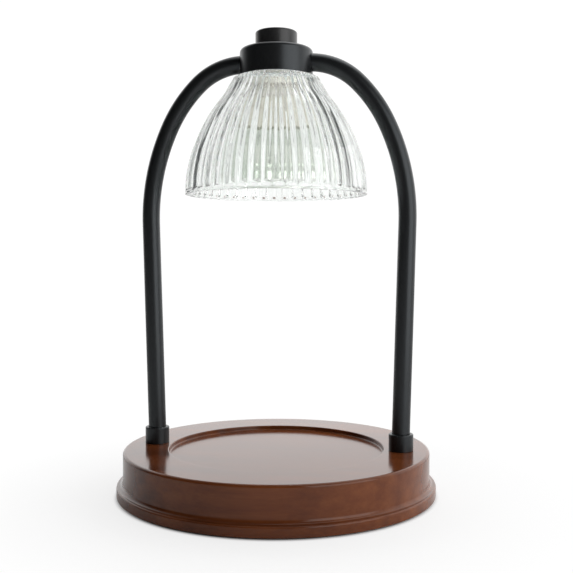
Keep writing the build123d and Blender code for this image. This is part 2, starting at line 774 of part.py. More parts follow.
def make_bulb_reflector():
    wall = bulb_glass_wall
    neck = bulb_neck_radius
    mid_z = bulb_face_z + bulb_bowl_mid_height
    outer_start = (bulb_face_radius - bulb_rim_step, bulb_rim_z)
    outer_end = (neck + wall, bulb_base_bottom_z)
    inner_start = (neck - wall, bulb_base_bottom_z)
    inner_end = (bulb_seat_radius, bulb_rim_z)
    with BuildLine(Plane.XZ) as outline:
        Polyline((bulb_seat_radius, bulb_face_z), (bulb_face_radius, bulb_face_z),
                 (bulb_face_radius, bulb_rim_z), outer_start)
        ThreePointArc(outer_start, (bulb_bowl_mid_radius, mid_z), outer_end)
        Polyline(outer_end, (neck, bulb_base_bottom_z), (neck, bulb_neck_top_z),
                 (neck - wall, bulb_neck_top_z), inner_start)
        ThreePointArc(inner_start, (bulb_bowl_mid_radius - wall, mid_z), inner_end)
        Line(inner_end, (bulb_seat_radius, bulb_face_z))
    return turned(outline.line)


def make_bulb_lens():
    bottom = bulb_face_z + bulb_lens_inset
    return disc(bulb_seat_radius - seat_gap, bottom, bottom + bulb_lens_thickness)


def make_bulb_capsule():
    tip_z = bulb_neck_top_z - capsule_length
    capsule = disc(capsule_radius, tip_z + capsule_radius, bulb_neck_top_z)
    return capsule + Pos(0, 0, tip_z + capsule_radius) * Sphere(capsule_radius)


def make_bulb_pins():
    pins = []
    for x in (-pin_circle_radius, pin_circle_radius):
        head_bottom = land_top_z + turning_gap
        pin = disc(pin_radius, bulb_top_z - pin_head_height, head_bottom + pin_head_height, x)
        pins.append(pin + disc(pin_head_radius, head_bottom, head_bottom + pin_head_height, x))
    return group(pins)


# Dimmer
def make_dimmer_body():
    body = disc(dimmer_radius, dimmer_bottom_z, dimmer_top_z)
    reach = dimmer_radius + lug_length
    for i in (-1, 0, 1):
        body += block(reach, lug_width, arm_z - lug_thickness / 2, arm_z + lug_thickness / 2,
                      reach / 2, i * lug_pitch)
    for side in (-1, 1):
        body += disc(lamp_lead_radius, dimmer_bottom_z - lamp_lug_length, dimmer_bottom_z + lamp_lug_root,
                     side * pin_circle_radius, lamp_lead_y)
    body += disc(bush_radius, dimmer_top_z - bush_root, bush_top_z)
    return body - disc(shaft_radius + shaft_gap, dimmer_top_z - shaft_sink, bush_top_z + overrun)


def make_dimmer_washer():
    top = collar_top_z + dimmer_washer_thickness
    return tube_piece(dimmer_washer_radius, bush_radius + slip_gap, collar_top_z, top)


def make_dimmer_nut():
    bottom = collar_top_z + dimmer_washer_thickness
    return hex_nut(dimmer_nut_flats, bush_radius + pilot_gap, bottom, bottom + dimmer_nut_height)


def make_shaft(gap, bottom, top):
    """The dimmer's shaft, or its hole in the knob, with the flat above the bush."""
    radius = shaft_radius + gap
    side = 2 * radius
    flat = block(side, side, hub_bottom_z, top + overrun, 0, shaft_flat + gap + radius)
    return disc(radius, bottom, top) - flat


def make_dimmer_shaft():
    return make_shaft(0, dimmer_top_z - shaft_sink + turning_gap, hub_bottom_z + shaft_bite)


def make_dimmer_knob():
    knob = disc(knob_radius, knob_bottom_z, knob_top_z)
    knob = fillet(knob.edges().group_by(Axis.Z)[-1], knob_edge_radius)
    knob -= tube_piece(knob_radius - knob_wall, knob_hub_radius, knob_bottom_z - overrun, knob_roof_z)
    knob -= disc(knob_hub_radius + overrun, knob_bottom_z - overrun, hub_bottom_z)
    knob -= make_shaft(seat_gap, hub_bottom_z - overrun, hub_bottom_z + shaft_bite)
    length = knob_radius - 2 * pointer_margin
    pointer = block(pointer_width, length, knob_top_z - pointer_depth, knob_top_z + overrun,
                    0, -pointer_margin - length / 2)
    return knob - pointer


# Supply lead, whole from the dimmer through the right arm and leg to the terminal block
def make_supply_lead():
    run_z = foot_height + cover_thickness + lead_floor_gap + lead_radius
    rise = tunnel_z - run_z
    dip = radians(lead_dip_angle)
    slope = (rise - 2 * lead_dip_bend * (1 - cos(dip))) / sin(dip)
    end_x = block_x + block_width / 2
    dip_length = 2 * lead_dip_bend * sin(dip) + slope * cos(dip)
    level_run = (leg_x - lead_leg_bend - end_x - dip_length) / 2
    with BuildLine(Plane.XZ) as route:
        foot = add_arch_run(dimmer_radius + lug_length)
        drop = Line(foot @ 1, (leg_x, run_z + lead_leg_bend))
        elbow = JernArc(drop @ 1, drop % 1, lead_leg_bend, -90)
        floor_run = Line(elbow @ 1, elbow @ 1 + (elbow % 1) * level_run)
        lift = JernArc(floor_run @ 1, floor_run % 1, lead_dip_bend, -lead_dip_angle)
        climb = Line(lift @ 1, lift @ 1 + (lift % 1) * slope)
        level = JernArc(climb @ 1, climb % 1, lead_dip_bend, lead_dip_angle)
        Line(level @ 1, level @ 1 + (level % 1) * level_run)
    path = route.wire()
    lead = swept(path, lead_radius)
    section = pi * lead_radius ** 2
    print("supply lead: length", round(path.length, 1), "volume over section times length",
          round(lead.volume / (section * path.length), 4), "bends", lead_leg_bend, lead_dip_bend)
    return lead


nodes = {
    "base_body": make_base_body(),
    "bottom_cover": make_bottom_cover(),
    "cover_screws": make_cover_screws(),
    "foot_pads": make_foot_pads(),
    "cord_grommet": make_cord_grommet(),
    "terminal_block": make_terminal_block(),
    "terminal_screws": make_terminal_screws(),
    "block_screws": make_block_screws(),
    "ferrule_left": make_ferrule(-1),
    "ferrule_right": make_ferrule(1),
    "leg_nipples": make_leg_nipples(),
    "leg_washers": make_leg_washers(),
    "leg_nuts": make_leg_nuts(),
    "arch_tube_left": make_arch_tube(-1),
    "arch_tube_right": make_arch_tube(1),
    "arm_spigots": make_arm_spigots(),
    "collar_housing": make_collar_housing(),
    "shade_carrier": make_shade_carrier(),
    "carrier_screws": make_carrier_screws(),
    "upper_gasket": make_upper_gasket(),
    "glass_shade": make_glass_shade(),
    "lower_gasket": make_lower_gasket(),
    "shade_ring_nut": make_ring_nut(),
    "lampholder_body": make_lampholder_body(),
    "lampholder_contacts": make_lampholder_contacts(),
    "lampholder_bracket": make_lampholder_bracket(),
    "lampholder_screws": make_lampholder_screws(),
    "lamp_leads": make_lamp_leads(),
    "bulb_base": make_bulb_base(),
    "bulb_reflector": make_bulb_reflector(),
    "bulb_lens": make_bulb_lens(),
    "bulb_capsule": make_bulb_capsule(),
    "bulb_pins": make_bulb_pins(),
    "dimmer_body": make_dimmer_body(),
    "dimmer_washer": make_dimmer_washer(),
    "dimmer_nut": make_dimmer_nut(),
    "dimmer_shaft": make_dimmer_shaft(),
    "dimmer_knob": make_dimmer_knob(),
    "supply_lead": make_supply_lead(),
}

os.makedirs("parts", exist_ok=True)
for name, shape in nodes.items():
    export_step(shape, f"parts/{name}.step")
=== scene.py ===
from math import acos, atan2, cos, pi, radians, sin, tan

import bmesh
import bpy
import numpy as np
from mathutils import Matrix, Vector


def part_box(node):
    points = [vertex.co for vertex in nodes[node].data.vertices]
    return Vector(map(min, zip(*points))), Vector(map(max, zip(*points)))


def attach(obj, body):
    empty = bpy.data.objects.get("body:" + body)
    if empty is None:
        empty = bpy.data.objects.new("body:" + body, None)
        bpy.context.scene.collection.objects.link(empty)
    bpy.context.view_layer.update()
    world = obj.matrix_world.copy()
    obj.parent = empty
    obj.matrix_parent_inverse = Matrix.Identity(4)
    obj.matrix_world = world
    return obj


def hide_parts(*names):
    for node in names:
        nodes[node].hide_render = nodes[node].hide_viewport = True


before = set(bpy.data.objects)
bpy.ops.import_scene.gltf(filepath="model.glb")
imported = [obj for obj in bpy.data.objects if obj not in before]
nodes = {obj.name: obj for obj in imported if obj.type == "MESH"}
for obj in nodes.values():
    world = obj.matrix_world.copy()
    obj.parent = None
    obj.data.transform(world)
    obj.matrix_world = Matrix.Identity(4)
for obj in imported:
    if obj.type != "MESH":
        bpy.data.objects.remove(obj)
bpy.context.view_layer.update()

# Base. A disc of solid wood turned on a lathe, with a stepped rim, a round recess for the jar
# and a cavity below for the wiring. It is stained walnut brown and sprayed with gloss lacquer.
mm = 0.001
base_low, base_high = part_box("base_body")
base_top = base_high.z
base_segments = 288
flange_step = 4.0 * mm
flange_height = 6.2 * mm
flange_radius = base_high.x
flange_top = base_low.z + flange_height
drum_radius = flange_radius - flange_step
recess_radius = 67.6 * mm
recess_depth = 2.9 * mm
recess_floor = base_top - recess_depth
recess_floor_thickness = 5.0 * mm
cavity_wall = 9.0 * mm
cavity_radius = drum_radius - cavity_wall
cavity_roof = recess_floor - recess_floor_thickness
rebate_width = 6.0 * mm
rebate_height = 2.0 * mm
rebate_radius = cavity_radius + rebate_width
rebate_roof = base_low.z + rebate_height
foot_rounding = 0.4 * mm
flange_rounding = 1.1 * mm
cove_rounding = 2.6 * mm
drum_rounding = 1.7 * mm
recess_edge_rounding = 0.7 * mm
recess_corner_rounding = 1.0 * mm
cavity_rounding = 1.5 * mm
leg_hole = 4.1 * mm                 # here and below, a hole is given by its radius
inlet_seat_depth = 1.2 * mm
inlet_hole_step = 0.8 * mm          # from the radius of the grommet's lip down to that of its hole
inlet_seat_gap = 0.1 * mm           # round the grommet's outer lip
inlet_start_share = 0.8             # where the inlet's cutter starts, as a share of the cavity's radius
arc_points = 9
side_margin = 0.3 * mm              # from an arc to the point that keeps a flat side's shading
side_margin_share = 0.25            # the most that this takes of a side
join_distance = 0.002 * mm
sliver_width = 0.001 * mm
cut_sliver_width = 0.002 * mm
sharp_angle = radians(35)
cutter_segments = 64
nearly_nothing = 1e-9


def outline_through(corners):
    """An outline through corners of (radius, height, rounding).

    A rounded corner becomes an arc that touches both of its sides: it starts the rounding divided by
    the tangent of half the corner's angle away from the corner. Each side between two arcs gets a
    point close to either end, so that the flat side keeps its own shading.
    """
    stretches = []
    for i, (x, z, rounding) in enumerate(corners):
        here = np.array((x, z))
        if rounding == 0 or i in (0, len(corners) - 1):
            stretches.append(here[None])
            continue
        back = np.array(corners[i - 1][:2]) - here
        ahead = np.array(corners[i + 1][:2]) - here
        back, ahead = back / np.hypot(*back), ahead / np.hypot(*ahead)
        half = acos(float(np.clip(back @ ahead, -1, 1))) / 2
        middle = here + (back + ahead) / np.hypot(*(back + ahead)) * rounding / sin(half)
        start = here + back * rounding / tan(half) - middle
        end = here + ahead * rounding / tan(half) - middle
        first = atan2(start[1], start[0])
        turn = (atan2(end[1], end[0]) - first + pi) % (2 * pi) - pi
        angle = first + turn * np.linspace(0, 1, arc_points)
        stretches.append(middle + rounding * np.stack((np.cos(angle), np.sin(angle)), 1))
    points = [stretches[0]]
    for before, after in zip(stretches[:-1], stretches[1:]):
        side = after[0] - before[-1]
        step = min(side_margin_share, side_margin / max(np.hypot(*side), nearly_nothing))
        points += [before[-1:] + step * side, after[:1] - step * side, after]
    return np.concatenate(points)


def mesh_over(name, points, rows_close=False):
    """A mesh over a grid of points, whose columns go round and whose rows may close too.

    Quad (i, j) joins the grid's points (i, j), (i, j + 1), (i + 1, j + 1) and (i + 1, j). Points that
    lie on each other at a pole are joined, and the faces are turned outwards.
    """
    rows, columns = points.shape[:2]
    number = np.arange(rows * columns).reshape(rows, columns)
    low = number if rows_close else number[:-1]
    high = np.roll(number, -1, 0) if rows_close else number[1:]
    quads = np.stack((low, np.roll(low, -1, 1), np.roll(high, -1, 1), high), -1).reshape(-1, 4)
    mesh = bpy.data.meshes.new(name)
    mesh.from_pydata(points.reshape(-1, 3), [], quads)
    return mesh_piece(name, mesh)


def mend(mesh, sliver):
    """Joins a mesh's doubles, splits its faces of over four sides and takes out slivers.

    The faces are then turned outwards, and edges over the sharp angle are marked as sharp.
    """
    work = bmesh.new()
    work.from_mesh(mesh)
    bmesh.ops.remove_doubles(work, verts=work.verts, dist=join_distance)
    bmesh.ops.triangulate(work, faces=[face for face in work.faces if len(face.verts) > 4])
    bmesh.ops.dissolve_degenerate(work, edges=work.edges, dist=sliver)
    bmesh.ops.recalc_face_normals(work, faces=work.faces)
    work.to_mesh(mesh)
    work.free()
    mesh.set_sharp_from_angle(angle=sharp_angle)


def in_scene(name, data):
    """A new object of a mesh, a lamp or a camera, put into the scene."""
    item = bpy.data.objects.new(name, data)
    bpy.context.scene.collection.objects.link(item)
    return item


def mesh_piece(name, mesh):
    """A smooth object of a mended mesh."""
    mesh.shade_smooth()
    mend(mesh, sliver_width)
    return in_scene(name, mesh)


def turned(name, outline, segments, rows_close=False):
    """A surface of revolution: each point of the outline goes round a circle about the lamp's axis."""
    angle = np.linspace(0, 2 * pi, segments, endpoint=False)
    radius, height = outline[:, :1], outline[:, 1:]
    points = np.stack((radius * np.cos(angle), radius * np.sin(angle), height + 0 * angle), -1)
    return mesh_over(name, points, rows_close)


def bored(piece, cutters):
    """Cuts the cutters' solids out of a piece, removes them and takes out the slivers of the cuts."""
    for cutter in cutters:
        cut = piece.modifiers.new("bore", "BOOLEAN")
        cut.operation, cut.solver, cut.object = "DIFFERENCE", "EXACT", cutter
    view = bpy.context.evaluated_depsgraph_get()
    cut_mesh = bpy.data.meshes.new_from_object(piece.evaluated_get(view))
    piece.modifiers.clear()
    piece.data = cut_mesh
    for cutter in cutters:
        bpy.data.objects.remove(cutter)
    mend(cut_mesh, cut_sliver_width)


def rod_cutter(radius, start, end):
    """A round cutter: a cylinder turned about the axis, then laid from one point to another."""
    start, end = Vector(start), Vector(end)
    length = (end - start).length
    bar = turned("cutter", np.array(((0, 0), (radius, 0), (radius, length), (0, length))), cutter_segments)
    aim = (end - start).to_track_quat("Z", "Y").to_matrix().to_4x4()
    bar.data.transform(Matrix.Translation(start) @ aim)
    return bar


class Finish:
    """A finish: one shader with plain sockets, and short ways to lay patterns over it."""

    def __init__(self, name, colour, roughness, **sockets):
        self.material = bpy.data.materials.new(name)
        self.material.use_nodes = True
        self.tree = self.material.node_tree
        self.shader = self.tree.nodes["Principled BSDF"]
        self.material.diffuse_color = (*colour, 1)
        self.shader.inputs["Base Color"].default_value = (*colour, 1)
        self.shader.inputs["Roughness"].default_value = roughness
        for socket, value in sockets.items():
            title = socket.replace("_", " ").title().replace("Ior", "IOR")
            self.shader.inputs[title].default_value = value

    def join(self, value, socket):
        """Links an output to a socket, or sets the socket to a plain value."""
        if isinstance(value, bpy.types.NodeSocket):
            self.tree.links.new(value, socket)
        else:
            socket.default_value = value

    def node(self, kind, **inputs):
        """A new node with values or links for its inputs."""
        node = self.tree.nodes.new(kind)
        for name, value in inputs.items():
            self.join(value, node.inputs[name.title()])
        return node

    def place(self, stretch=(1, 1, 1)):
        """The point of the surface in the object's own coordinates, stretched along its axes."""
        coordinates = self.node("ShaderNodeTexCoord").outputs["Object"]
        return self.node("ShaderNodeMapping", vector=coordinates, scale=stretch).outputs[0]

    def cloud(self, place, scale, detail=3.0, roughness=0.5):
        """A cloudy pattern about 0.5, with this many clouds to the metre."""
        noise = self.node("ShaderNodeTexNoise", vector=place, scale=scale, detail=detail, roughness=roughness)
        return noise.outputs[0]

    def reckon(self, operation, *values):
        """A sum or a product of patterns and numbers."""
        math = self.node("ShaderNodeMath")
        math.operation = operation
        for value, socket in zip(values, math.inputs):
            self.join(value, socket)
        return math.outputs[0]

    def sum_of(self, first, second, share):
        """The first pattern plus a share of the second."""
        return self.reckon("MULTIPLY_ADD", second, share, first)

    def ranged(self, value, low, high, from_low=0.0, from_high=1.0):
        """A pattern spread from one range to another."""
        spread = self.node("ShaderNodeMapRange")
        for number, socket in zip((value, from_low, from_high, low, high), spread.inputs):
            self.join(number, socket)
        return spread.outputs[0]

    def ramp(self, factor, *stops):
        """The colours of stops (place, colour) along a pattern."""
        ramp = self.node("ShaderNodeValToRGB", fac=factor)
        elements = ramp.color_ramp.elements
        while len(elements) < len(stops):
            elements.new(0.5)
        for element, (place, colour) in zip(elements, stops):
            element.position, element.color = place, (*colour, 1)
        return ramp.outputs[0]

    def relief(self, height, depth, strength):
        """Fine relief of a pattern, its depth in metres."""
        bump = self.node("ShaderNodeBump", height=height, distance=depth, strength=strength)
        self.join(bump.outputs[0], self.shader.inputs["Normal"])

    def drive(self, **sockets):
        """Links patterns to the shader's sockets."""
        for socket, value in sockets.items():
            self.join(value, self.shader.inputs[socket.replace("_", " ").title()])

    def mottle(self, pattern, dark, pale, smooth, rough, dark_place=0.3, pale_place=0.7):
        """Spreads the colour from dark to pale and the roughness from smooth to rough along a pattern."""
        self.drive(base_color=self.ramp(pattern, (dark_place, dark), (pale_place, pale)),
                   roughness=self.ranged(pattern, smooth, rough))

    def coat(self, *pieces):
        """Puts the finish on pieces or CAD nodes."""
        for piece in pieces:
            if piece.data.materials:
                for slot in piece.material_slots:
                    slot.material = self.material
            else:
                piece.data.materials.append(self.material)


base = turned("base", outline_through((
    (0, cavity_roof, 0),
    (cavity_radius, cavity_roof, cavity_rounding),
    (cavity_radius, rebate_roof, 0),
    (rebate_radius, rebate_roof, 0),
    (rebate_radius, base_low.z, 0),
    (flange_radius, base_low.z, foot_rounding),
    (flange_radius, flange_top, flange_rounding),
    (drum_radius, flange_top, cove_rounding),
    (drum_radius, base_top, drum_rounding),
    (recess_radius, base_top, recess_edge_rounding),
    (recess_radius, recess_floor, recess_corner_rounding),
    (0, recess_floor, 0))), base_segments)
inlet_low, inlet_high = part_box("cord_grommet")
inlet_height = (inlet_low.z + inlet_high.z) / 2
inlet_lip = (inlet_high.z - inlet_low.z) / 2
inlet_start = (0, inlet_start_share * cavity_radius, inlet_height)
inlet_seat = (0, inlet_high.y - inlet_seat_depth, inlet_height)
inlet_end = (0, flange_radius, inlet_height)
leg_low, leg_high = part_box("ferrule_right")
leg_x = (leg_low.x + leg_high.x) / 2
bored(base, [rod_cutter(inlet_lip - inlet_hole_step, inlet_start, inlet_end),
             rod_cutter(inlet_lip + inlet_seat_gap, inlet_seat, inlet_end),
             *(rod_cutter(leg_hole, (x, 0, 0), (x, 0, flange_radius)) for x in (leg_x, -leg_x))])

walnut = (0.14, 0.038, 0.012)
dark_grain = (0.074, 0.018, 0.0055)
middle_grain = (0.138, 0.037, 0.0105)
pale_grain = (0.205, 0.060, 0.018)
lacquer = Finish("walnut_lacquer", walnut, 0.17, ior=1.38)
growth = lacquer.cloud(lacquer.place(stretch=(3.0, 30, 30)), scale=2.6, detail=5, roughness=0.6)
pores = lacquer.cloud(lacquer.place(stretch=(40, 900, 900)), scale=1.2, detail=2)
stain = lacquer.cloud(lacquer.place(), scale=16)
grain = lacquer.sum_of(lacquer.sum_of(growth, pores, share=0.16), stain, share=0.35)
spread_grain = lacquer.ranged(grain, 0, 1, from_low=0.5, from_high=1.0)
lacquer.drive(base_color=lacquer.ramp(spread_grain, (0, dark_grain), (0.5, middle_grain), (1, pale_grain)),
              roughness=lacquer.ranged(growth, low=0.12, high=0.19))
lacquer.relief(lacquer.sum_of(growth, pores, share=0.5), depth=0.03 * mm, strength=0.5)
lacquer.coat(base)
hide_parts("base_body")
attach(base, "stand")

# Bottom cover. A thin disc of dark fibreboard that drops into a rebate under the base and is
# held by four countersunk screws of zinc plated steel.
board_brown = (0.055, 0.038, 0.028)
dark_fibre = (0.030, 0.020, 0.015)
pale_fibre = (0.085, 0.062, 0.046)
board = Finish("cover_board", board_brown, 0.75)
fibres = board.cloud(board.place(stretch=(1, 1, 0.2)), scale=900, detail=4, roughness=0.7)
specks = board.cloud(board.place(), scale=220, detail=2)
felted = board.sum_of(fibres, specks, share=0.5)
board.drive(base_color=board.ramp(felted, (0.45, dark_fibre), (0.95, pale_fibre)))
board.relief(fibres, depth=0.05 * mm, strength=0.6)
board.coat(nodes["bottom_cover"])

zinc = Finish("zinc_plate", (0.62, 0.62, 0.60), 0.34, metallic=1.0)
spangle = zinc.cloud(zinc.place(), scale=700, roughness=0.6)
zinc.mottle(spangle, dark=(0.46, 0.46, 0.45), pale=(0.72, 0.72, 0.69), smooth=0.24, rough=0.5)
zinc_lines = zinc.cloud(zinc.place(stretch=(1, 1, 12)), scale=1500, detail=2)
zinc.relief(zinc_lines, depth=0.01 * mm, strength=0.5)
zinc.coat(nodes["cover_screws"])

# Foot pads. Four discs of soft black rubber that lift the base off the table. They are stamped
# from sheet and glued to the bottom cover.
pad = Finish("pad_rubber", (0.022, 0.022, 0.022), 0.85)
grit = pad.cloud(pad.place(), scale=2600, roughness=0.6)
pad.mottle(grit, dark=(0.014, 0.014, 0.014), pale=(0.038, 0.037, 0.036), smooth=0.75, rough=0.95,
           pale_place=0.75)
pad.relief(grit, depth=0.04 * mm, strength=0.6)
pad.coat(nodes["foot_pads"])

# Cord inlet. A moulded rubber grommet with a lip on either side of the wall. The outer lip sits
# in a shallow seat in the rear of the base.
grommet_length = inlet_high.y - inlet_low.y
grommet_bore = 3.0 * mm
grommet_neck_step = 0.95 * mm
grommet_neck = inlet_lip - grommet_neck_step
grommet_lip = 1.2 * mm
grommet_far_lip = grommet_length - grommet_lip
grommet_edge_rounding = 0.3 * mm
grommet_mouth_rounding = 0.4 * mm
grommet_face_rounding = 0.5 * mm
bore_start = 0.5 * grommet_length
bore_end = 0.6 * grommet_length
grommet_segments = 72
grommet = turned("grommet", outline_through((
    (grommet_bore, bore_start, 0),
    (grommet_bore, 0, grommet_edge_rounding),
    (inlet_lip, 0, grommet_mouth_rounding),
    (inlet_lip, grommet_lip, grommet_edge_rounding),
    (grommet_neck, grommet_lip, 0),
    (grommet_neck, grommet_far_lip, 0),
    (inlet_lip, grommet_far_lip, grommet_edge_rounding),
    (inlet_lip, grommet_length, grommet_face_rounding),
    (grommet_bore, grommet_length, grommet_mouth_rounding),
    (grommet_bore, bore_end, 0))), grommet_segments, rows_close=True)
lying = Matrix.Rotation(-pi / 2, 4, "X")
grommet.data.transform(Matrix.Translation((0, inlet_low.y, inlet_height)) @ lying)
rubber = Finish("grommet_rubber", (0.018, 0.018, 0.018), 0.6)
bloom = rubber.cloud(rubber.place(), scale=1400)
rubber.mottle(bloom, dark=(0.012, 0.012, 0.012), pale=(0.032, 0.031, 0.030), smooth=0.5, rough=0.72,
              pale_place=0.8)
rubber.relief(bloom, depth=0.02 * mm, strength=0.5)
rubber.coat(grommet)
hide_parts("cord_grommet")
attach(grommet, "stand")

# Terminal block. An off-white moulding on the cavity's roof, with brass clamping screws and two
# zinc plated screws that fix it to the wood.
moulding = Finish("terminal_moulding", (0.80, 0.78, 0.70), 0.5)
flow = moulding.cloud(moulding.place(), scale=260)
moulding.mottle(flow, dark=(0.72, 0.70, 0.62), pale=(0.84, 0.82, 0.75), smooth=0.42, rough=0.6)
moulding_grain = moulding.cloud(moulding.place(), scale=3000, detail=2)
moulding.relief(moulding_grain, depth=0.01 * mm, strength=0.4)
moulding.coat(nodes["terminal_block"])
brass = Finish("turned_brass", (0.72, 0.53, 0.22), 0.3, metallic=1.0)
tarnish = brass.cloud(brass.place(), scale=800)
brass.mottle(tarnish, dark=(0.55, 0.38, 0.15), pale=(0.80, 0.60, 0.27), smooth=0.2, rough=0.45)
brass.coat(nodes["terminal_screws"])
zinc.coat(nodes["block_screws"])

# Ferrules. Two short turned sleeves that stand on the base and take the ends of the legs. They
# are powder coated satin black, like the legs.
tube_radius = 5.58 * mm
ferrule_floor = 2.0 * mm
ferrule_mouth_rounding = 0.5 * mm
ferrule_top_rounding = 0.7 * mm
ferrule_foot_rounding = 0.25 * mm
ferrule_segments = 96
outline_gap = 0.5 * mm              # between the last point of a closed outline and its first
satin_black = (0.0095, 0.0100, 0.0105)
satin_shine = (0.88, 0.95, 1.0, 1.0)
enamel = Finish("satin_black_enamel", satin_black, 0.33, specular_tint=satin_shine)
skin = enamel.cloud(enamel.place(), scale=900, detail=4, roughness=0.6)
enamel.mottle(skin, dark=(0.0075, 0.0080, 0.0085), pale=(0.0120, 0.0125, 0.0130), smooth=0.28, rough=0.38,
              pale_place=0.75)
enamel.relief(enamel.cloud(enamel.place(), scale=1800, detail=2), depth=0.012 * mm, strength=0.5)
for side, name in ((-1, "left"), (1, "right")):
    low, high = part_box("ferrule_" + name)
    ferrule_radius = (high.x - low.x) / 2
    ferrule_middle = (low.z + high.z) / 2
    sleeve = turned("sleeve_" + name, outline_through((
        (tube_radius, ferrule_middle, 0),
        (tube_radius, high.z, ferrule_mouth_rounding),
        (ferrule_radius, high.z, ferrule_top_rounding),
        (ferrule_radius, low.z, ferrule_foot_rounding),
        (leg_hole, low.z, 0),
        (leg_hole, low.z + ferrule_floor, 0),
        (tube_radius, low.z + ferrule_floor, 0),
        (tube_radius, ferrule_middle - outline_gap, 0))), ferrule_segments, rows_close=True)
    sleeve.data.transform(Matrix.Translation((side * leg_x, 0, 0)))
    enamel.coat(sleeve)
    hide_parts("ferrule_" + name)
    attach(sleeve, "stand")

# Leg fixings. A threaded nipple in each leg passes down through the base, and a washer and a nut
# pull the leg tight from the cavity. All are zinc plated steel.
zinc.coat(nodes["leg_nipples"], nodes["leg_washers"], nodes["leg_nuts"])

# Arch. Two steel tubes, bent from the collar over the shoulder and down to the base, and powder
# coated satin black. Each arm's end is shaped to the collar's round wall.
collar_low, collar_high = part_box("collar_housing")
tube_bore = 4.08 * mm
arm_lift = 8.4 * mm
arm_height = collar_low.z + arm_lift
arm_run = 20.6 * mm
tube_foot = base_top + ferrule_floor
shoulder_radius = 42.7 * mm
haunch_radius = 89.4 * mm
leg_bend_radius = 138.0 * mm
shoulder_angle = radians(44.4)
haunch_angle = radians(64.8)
leg_angle = radians(91.54)
cope_gap = 0.02 * mm                # from the collar's wall to the arm's end
cope_rounds = 4
tube_segments = 48
bend_rows = 150
leg_rows = 60
bend_share = 0.42                   # how much of the line takes the closer rows


def arch_runs():
    """The tube's line as (length, bend radius or None, angle below level where it starts and ends).

    The bends follow each other without a straight part. The leg then leans outwards, and a last
    gentle bend stands it upright in its ferrule.
    """
    runs = [(arm_run, None, 0, 0),
            (shoulder_radius * shoulder_angle, shoulder_radius, 0, shoulder_angle),
            (haunch_radius * (haunch_angle - shoulder_angle), haunch_radius, shoulder_angle, haunch_angle),
            (leg_bend_radius * (leg_angle - haunch_angle), leg_bend_radius, haunch_angle, leg_angle)]
    lean = leg_angle - pi / 2
    foot_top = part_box("ferrule_right")[1].z
    height = arch_places(runs, np.array((sum(run[0] for run in runs),)))[1][0]
    leg = (height - foot_top - leg_bend_radius * sin(lean)) / cos(lean)
    runs += [(leg, None, leg_angle, leg_angle), (leg_bend_radius * lean, leg_bend_radius, leg_angle, pi / 2)]
    return runs + [(foot_top - tube_foot, None, pi / 2, pi / 2)]


def arch_places(runs, way):
    """The x, height and slope of the line at each length along it.

    On a straight run the place goes on along the slope. On a bend the slope changes in step with the
    way, and x and height change by the radius times the difference of the sines and the cosines.
    """
    x, z, slope = 0 * way, 0 * way + arm_height, 0 * way
    start, here_x, here_z = 0.0, 0.0, arm_height
    for length, radius, first, last in runs:
        on_run = way >= start - nearly_nothing
        ahead = np.clip(way - start, 0, length)
        if radius is None:
            run_x, run_z, run_slope = ahead * cos(first), -ahead * sin(first), first + 0 * ahead
            end_x, end_z = length * cos(first), -length * sin(first)
        else:
            sense = 1 if last > first else -1
            run_slope = first + sense * ahead / radius
            run_x = sense * radius * (np.sin(run_slope) - sin(first))
            run_z = sense * radius * (np.cos(run_slope) - cos(first))
            end_x = sense * radius * (sin(last) - sin(first))
            end_z = sense * radius * (cos(last) - cos(first))
        x = np.where(on_run, here_x + run_x, x)
        z = np.where(on_run, here_z + run_z, z)
        slope = np.where(on_run, run_slope, slope)
        start, here_x, here_z = start + length, here_x + end_x, here_z + end_z
    return x, z, slope


def arch_tube(name, side, runs):
    """A tube along the line: circles square to it, first outside from arm to foot, then inside back.

    Each line along the tube starts where it meets the collar's wall, so that the arm's end is coped.
    That place is found by moving the start on by what the line still lacks.
    """
    around = np.linspace(0, 2 * pi, tube_segments, endpoint=False)
    share = np.concatenate((np.linspace(0, bend_share, bend_rows, endpoint=False),
                            np.linspace(bend_share, 1, leg_rows)))[:, None]
    whole = sum(run[0] for run in runs)
    shells = []
    for radius, order in ((tube_radius, 1), (tube_bore, -1)):
        across, up = radius * np.cos(around), radius * np.sin(around)
        meets = np.sqrt((collar_high.x + cope_gap) ** 2 - across ** 2)
        start = meets
        for _ in range(cope_rounds):
            x, z, slope = arch_places(runs, start)
            start = start + meets - x - up * np.sin(slope)
        x, z, slope = arch_places(runs, start + share * (whole - start))
        shell = np.stack((side * (x + up * np.sin(slope)), across + 0 * x, z + up * np.cos(slope)), -1)
        shells.append(shell[::order])
    return mesh_over(name, np.concatenate(shells), rows_close=True)


for side, name in ((-1, "left"), (1, "right")):
    tube = arch_tube("tube_" + name, side, arch_runs())
    enamel.coat(tube)
    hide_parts("arch_tube_" + name)
    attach(tube, "stand")
zinc.coat(nodes["arm_spigots"])

# Collar. A turned steel cup, open below, that joins the two arms and houses the dimmer. It is
# powder coated with the arch.
collar_radius = collar_high.x
collar_middle = (collar_low.z + collar_high.z) / 2
collar_wall = 2.0 * mm
collar_bore = collar_radius - collar_wall
collar_roof = collar_high.z - collar_wall
bush_hole = 4.5 * mm
collar_foot_rounding = 0.35 * mm
collar_top_rounding = 2.4 * mm
collar_inner_rounding = 1.5 * mm
bush_rounding = 0.2 * mm
collar_segments = 144
collar = turned("collar", outline_through((
    (collar_bore, collar_middle - outline_gap, 0),
    (collar_bore, collar_low.z, 0),
    (collar_radius, collar_low.z, collar_foot_rounding),
    (collar_radius, collar_high.z, collar_top_rounding),
    (bush_hole, collar_high.z, bush_rounding),
    (bush_hole, collar_roof, 0),
    (collar_bore, collar_roof, collar_inner_rounding),
    (collar_bore, collar_middle + outline_gap, 0))), collar_segments, rows_close=True)
enamel.coat(collar)
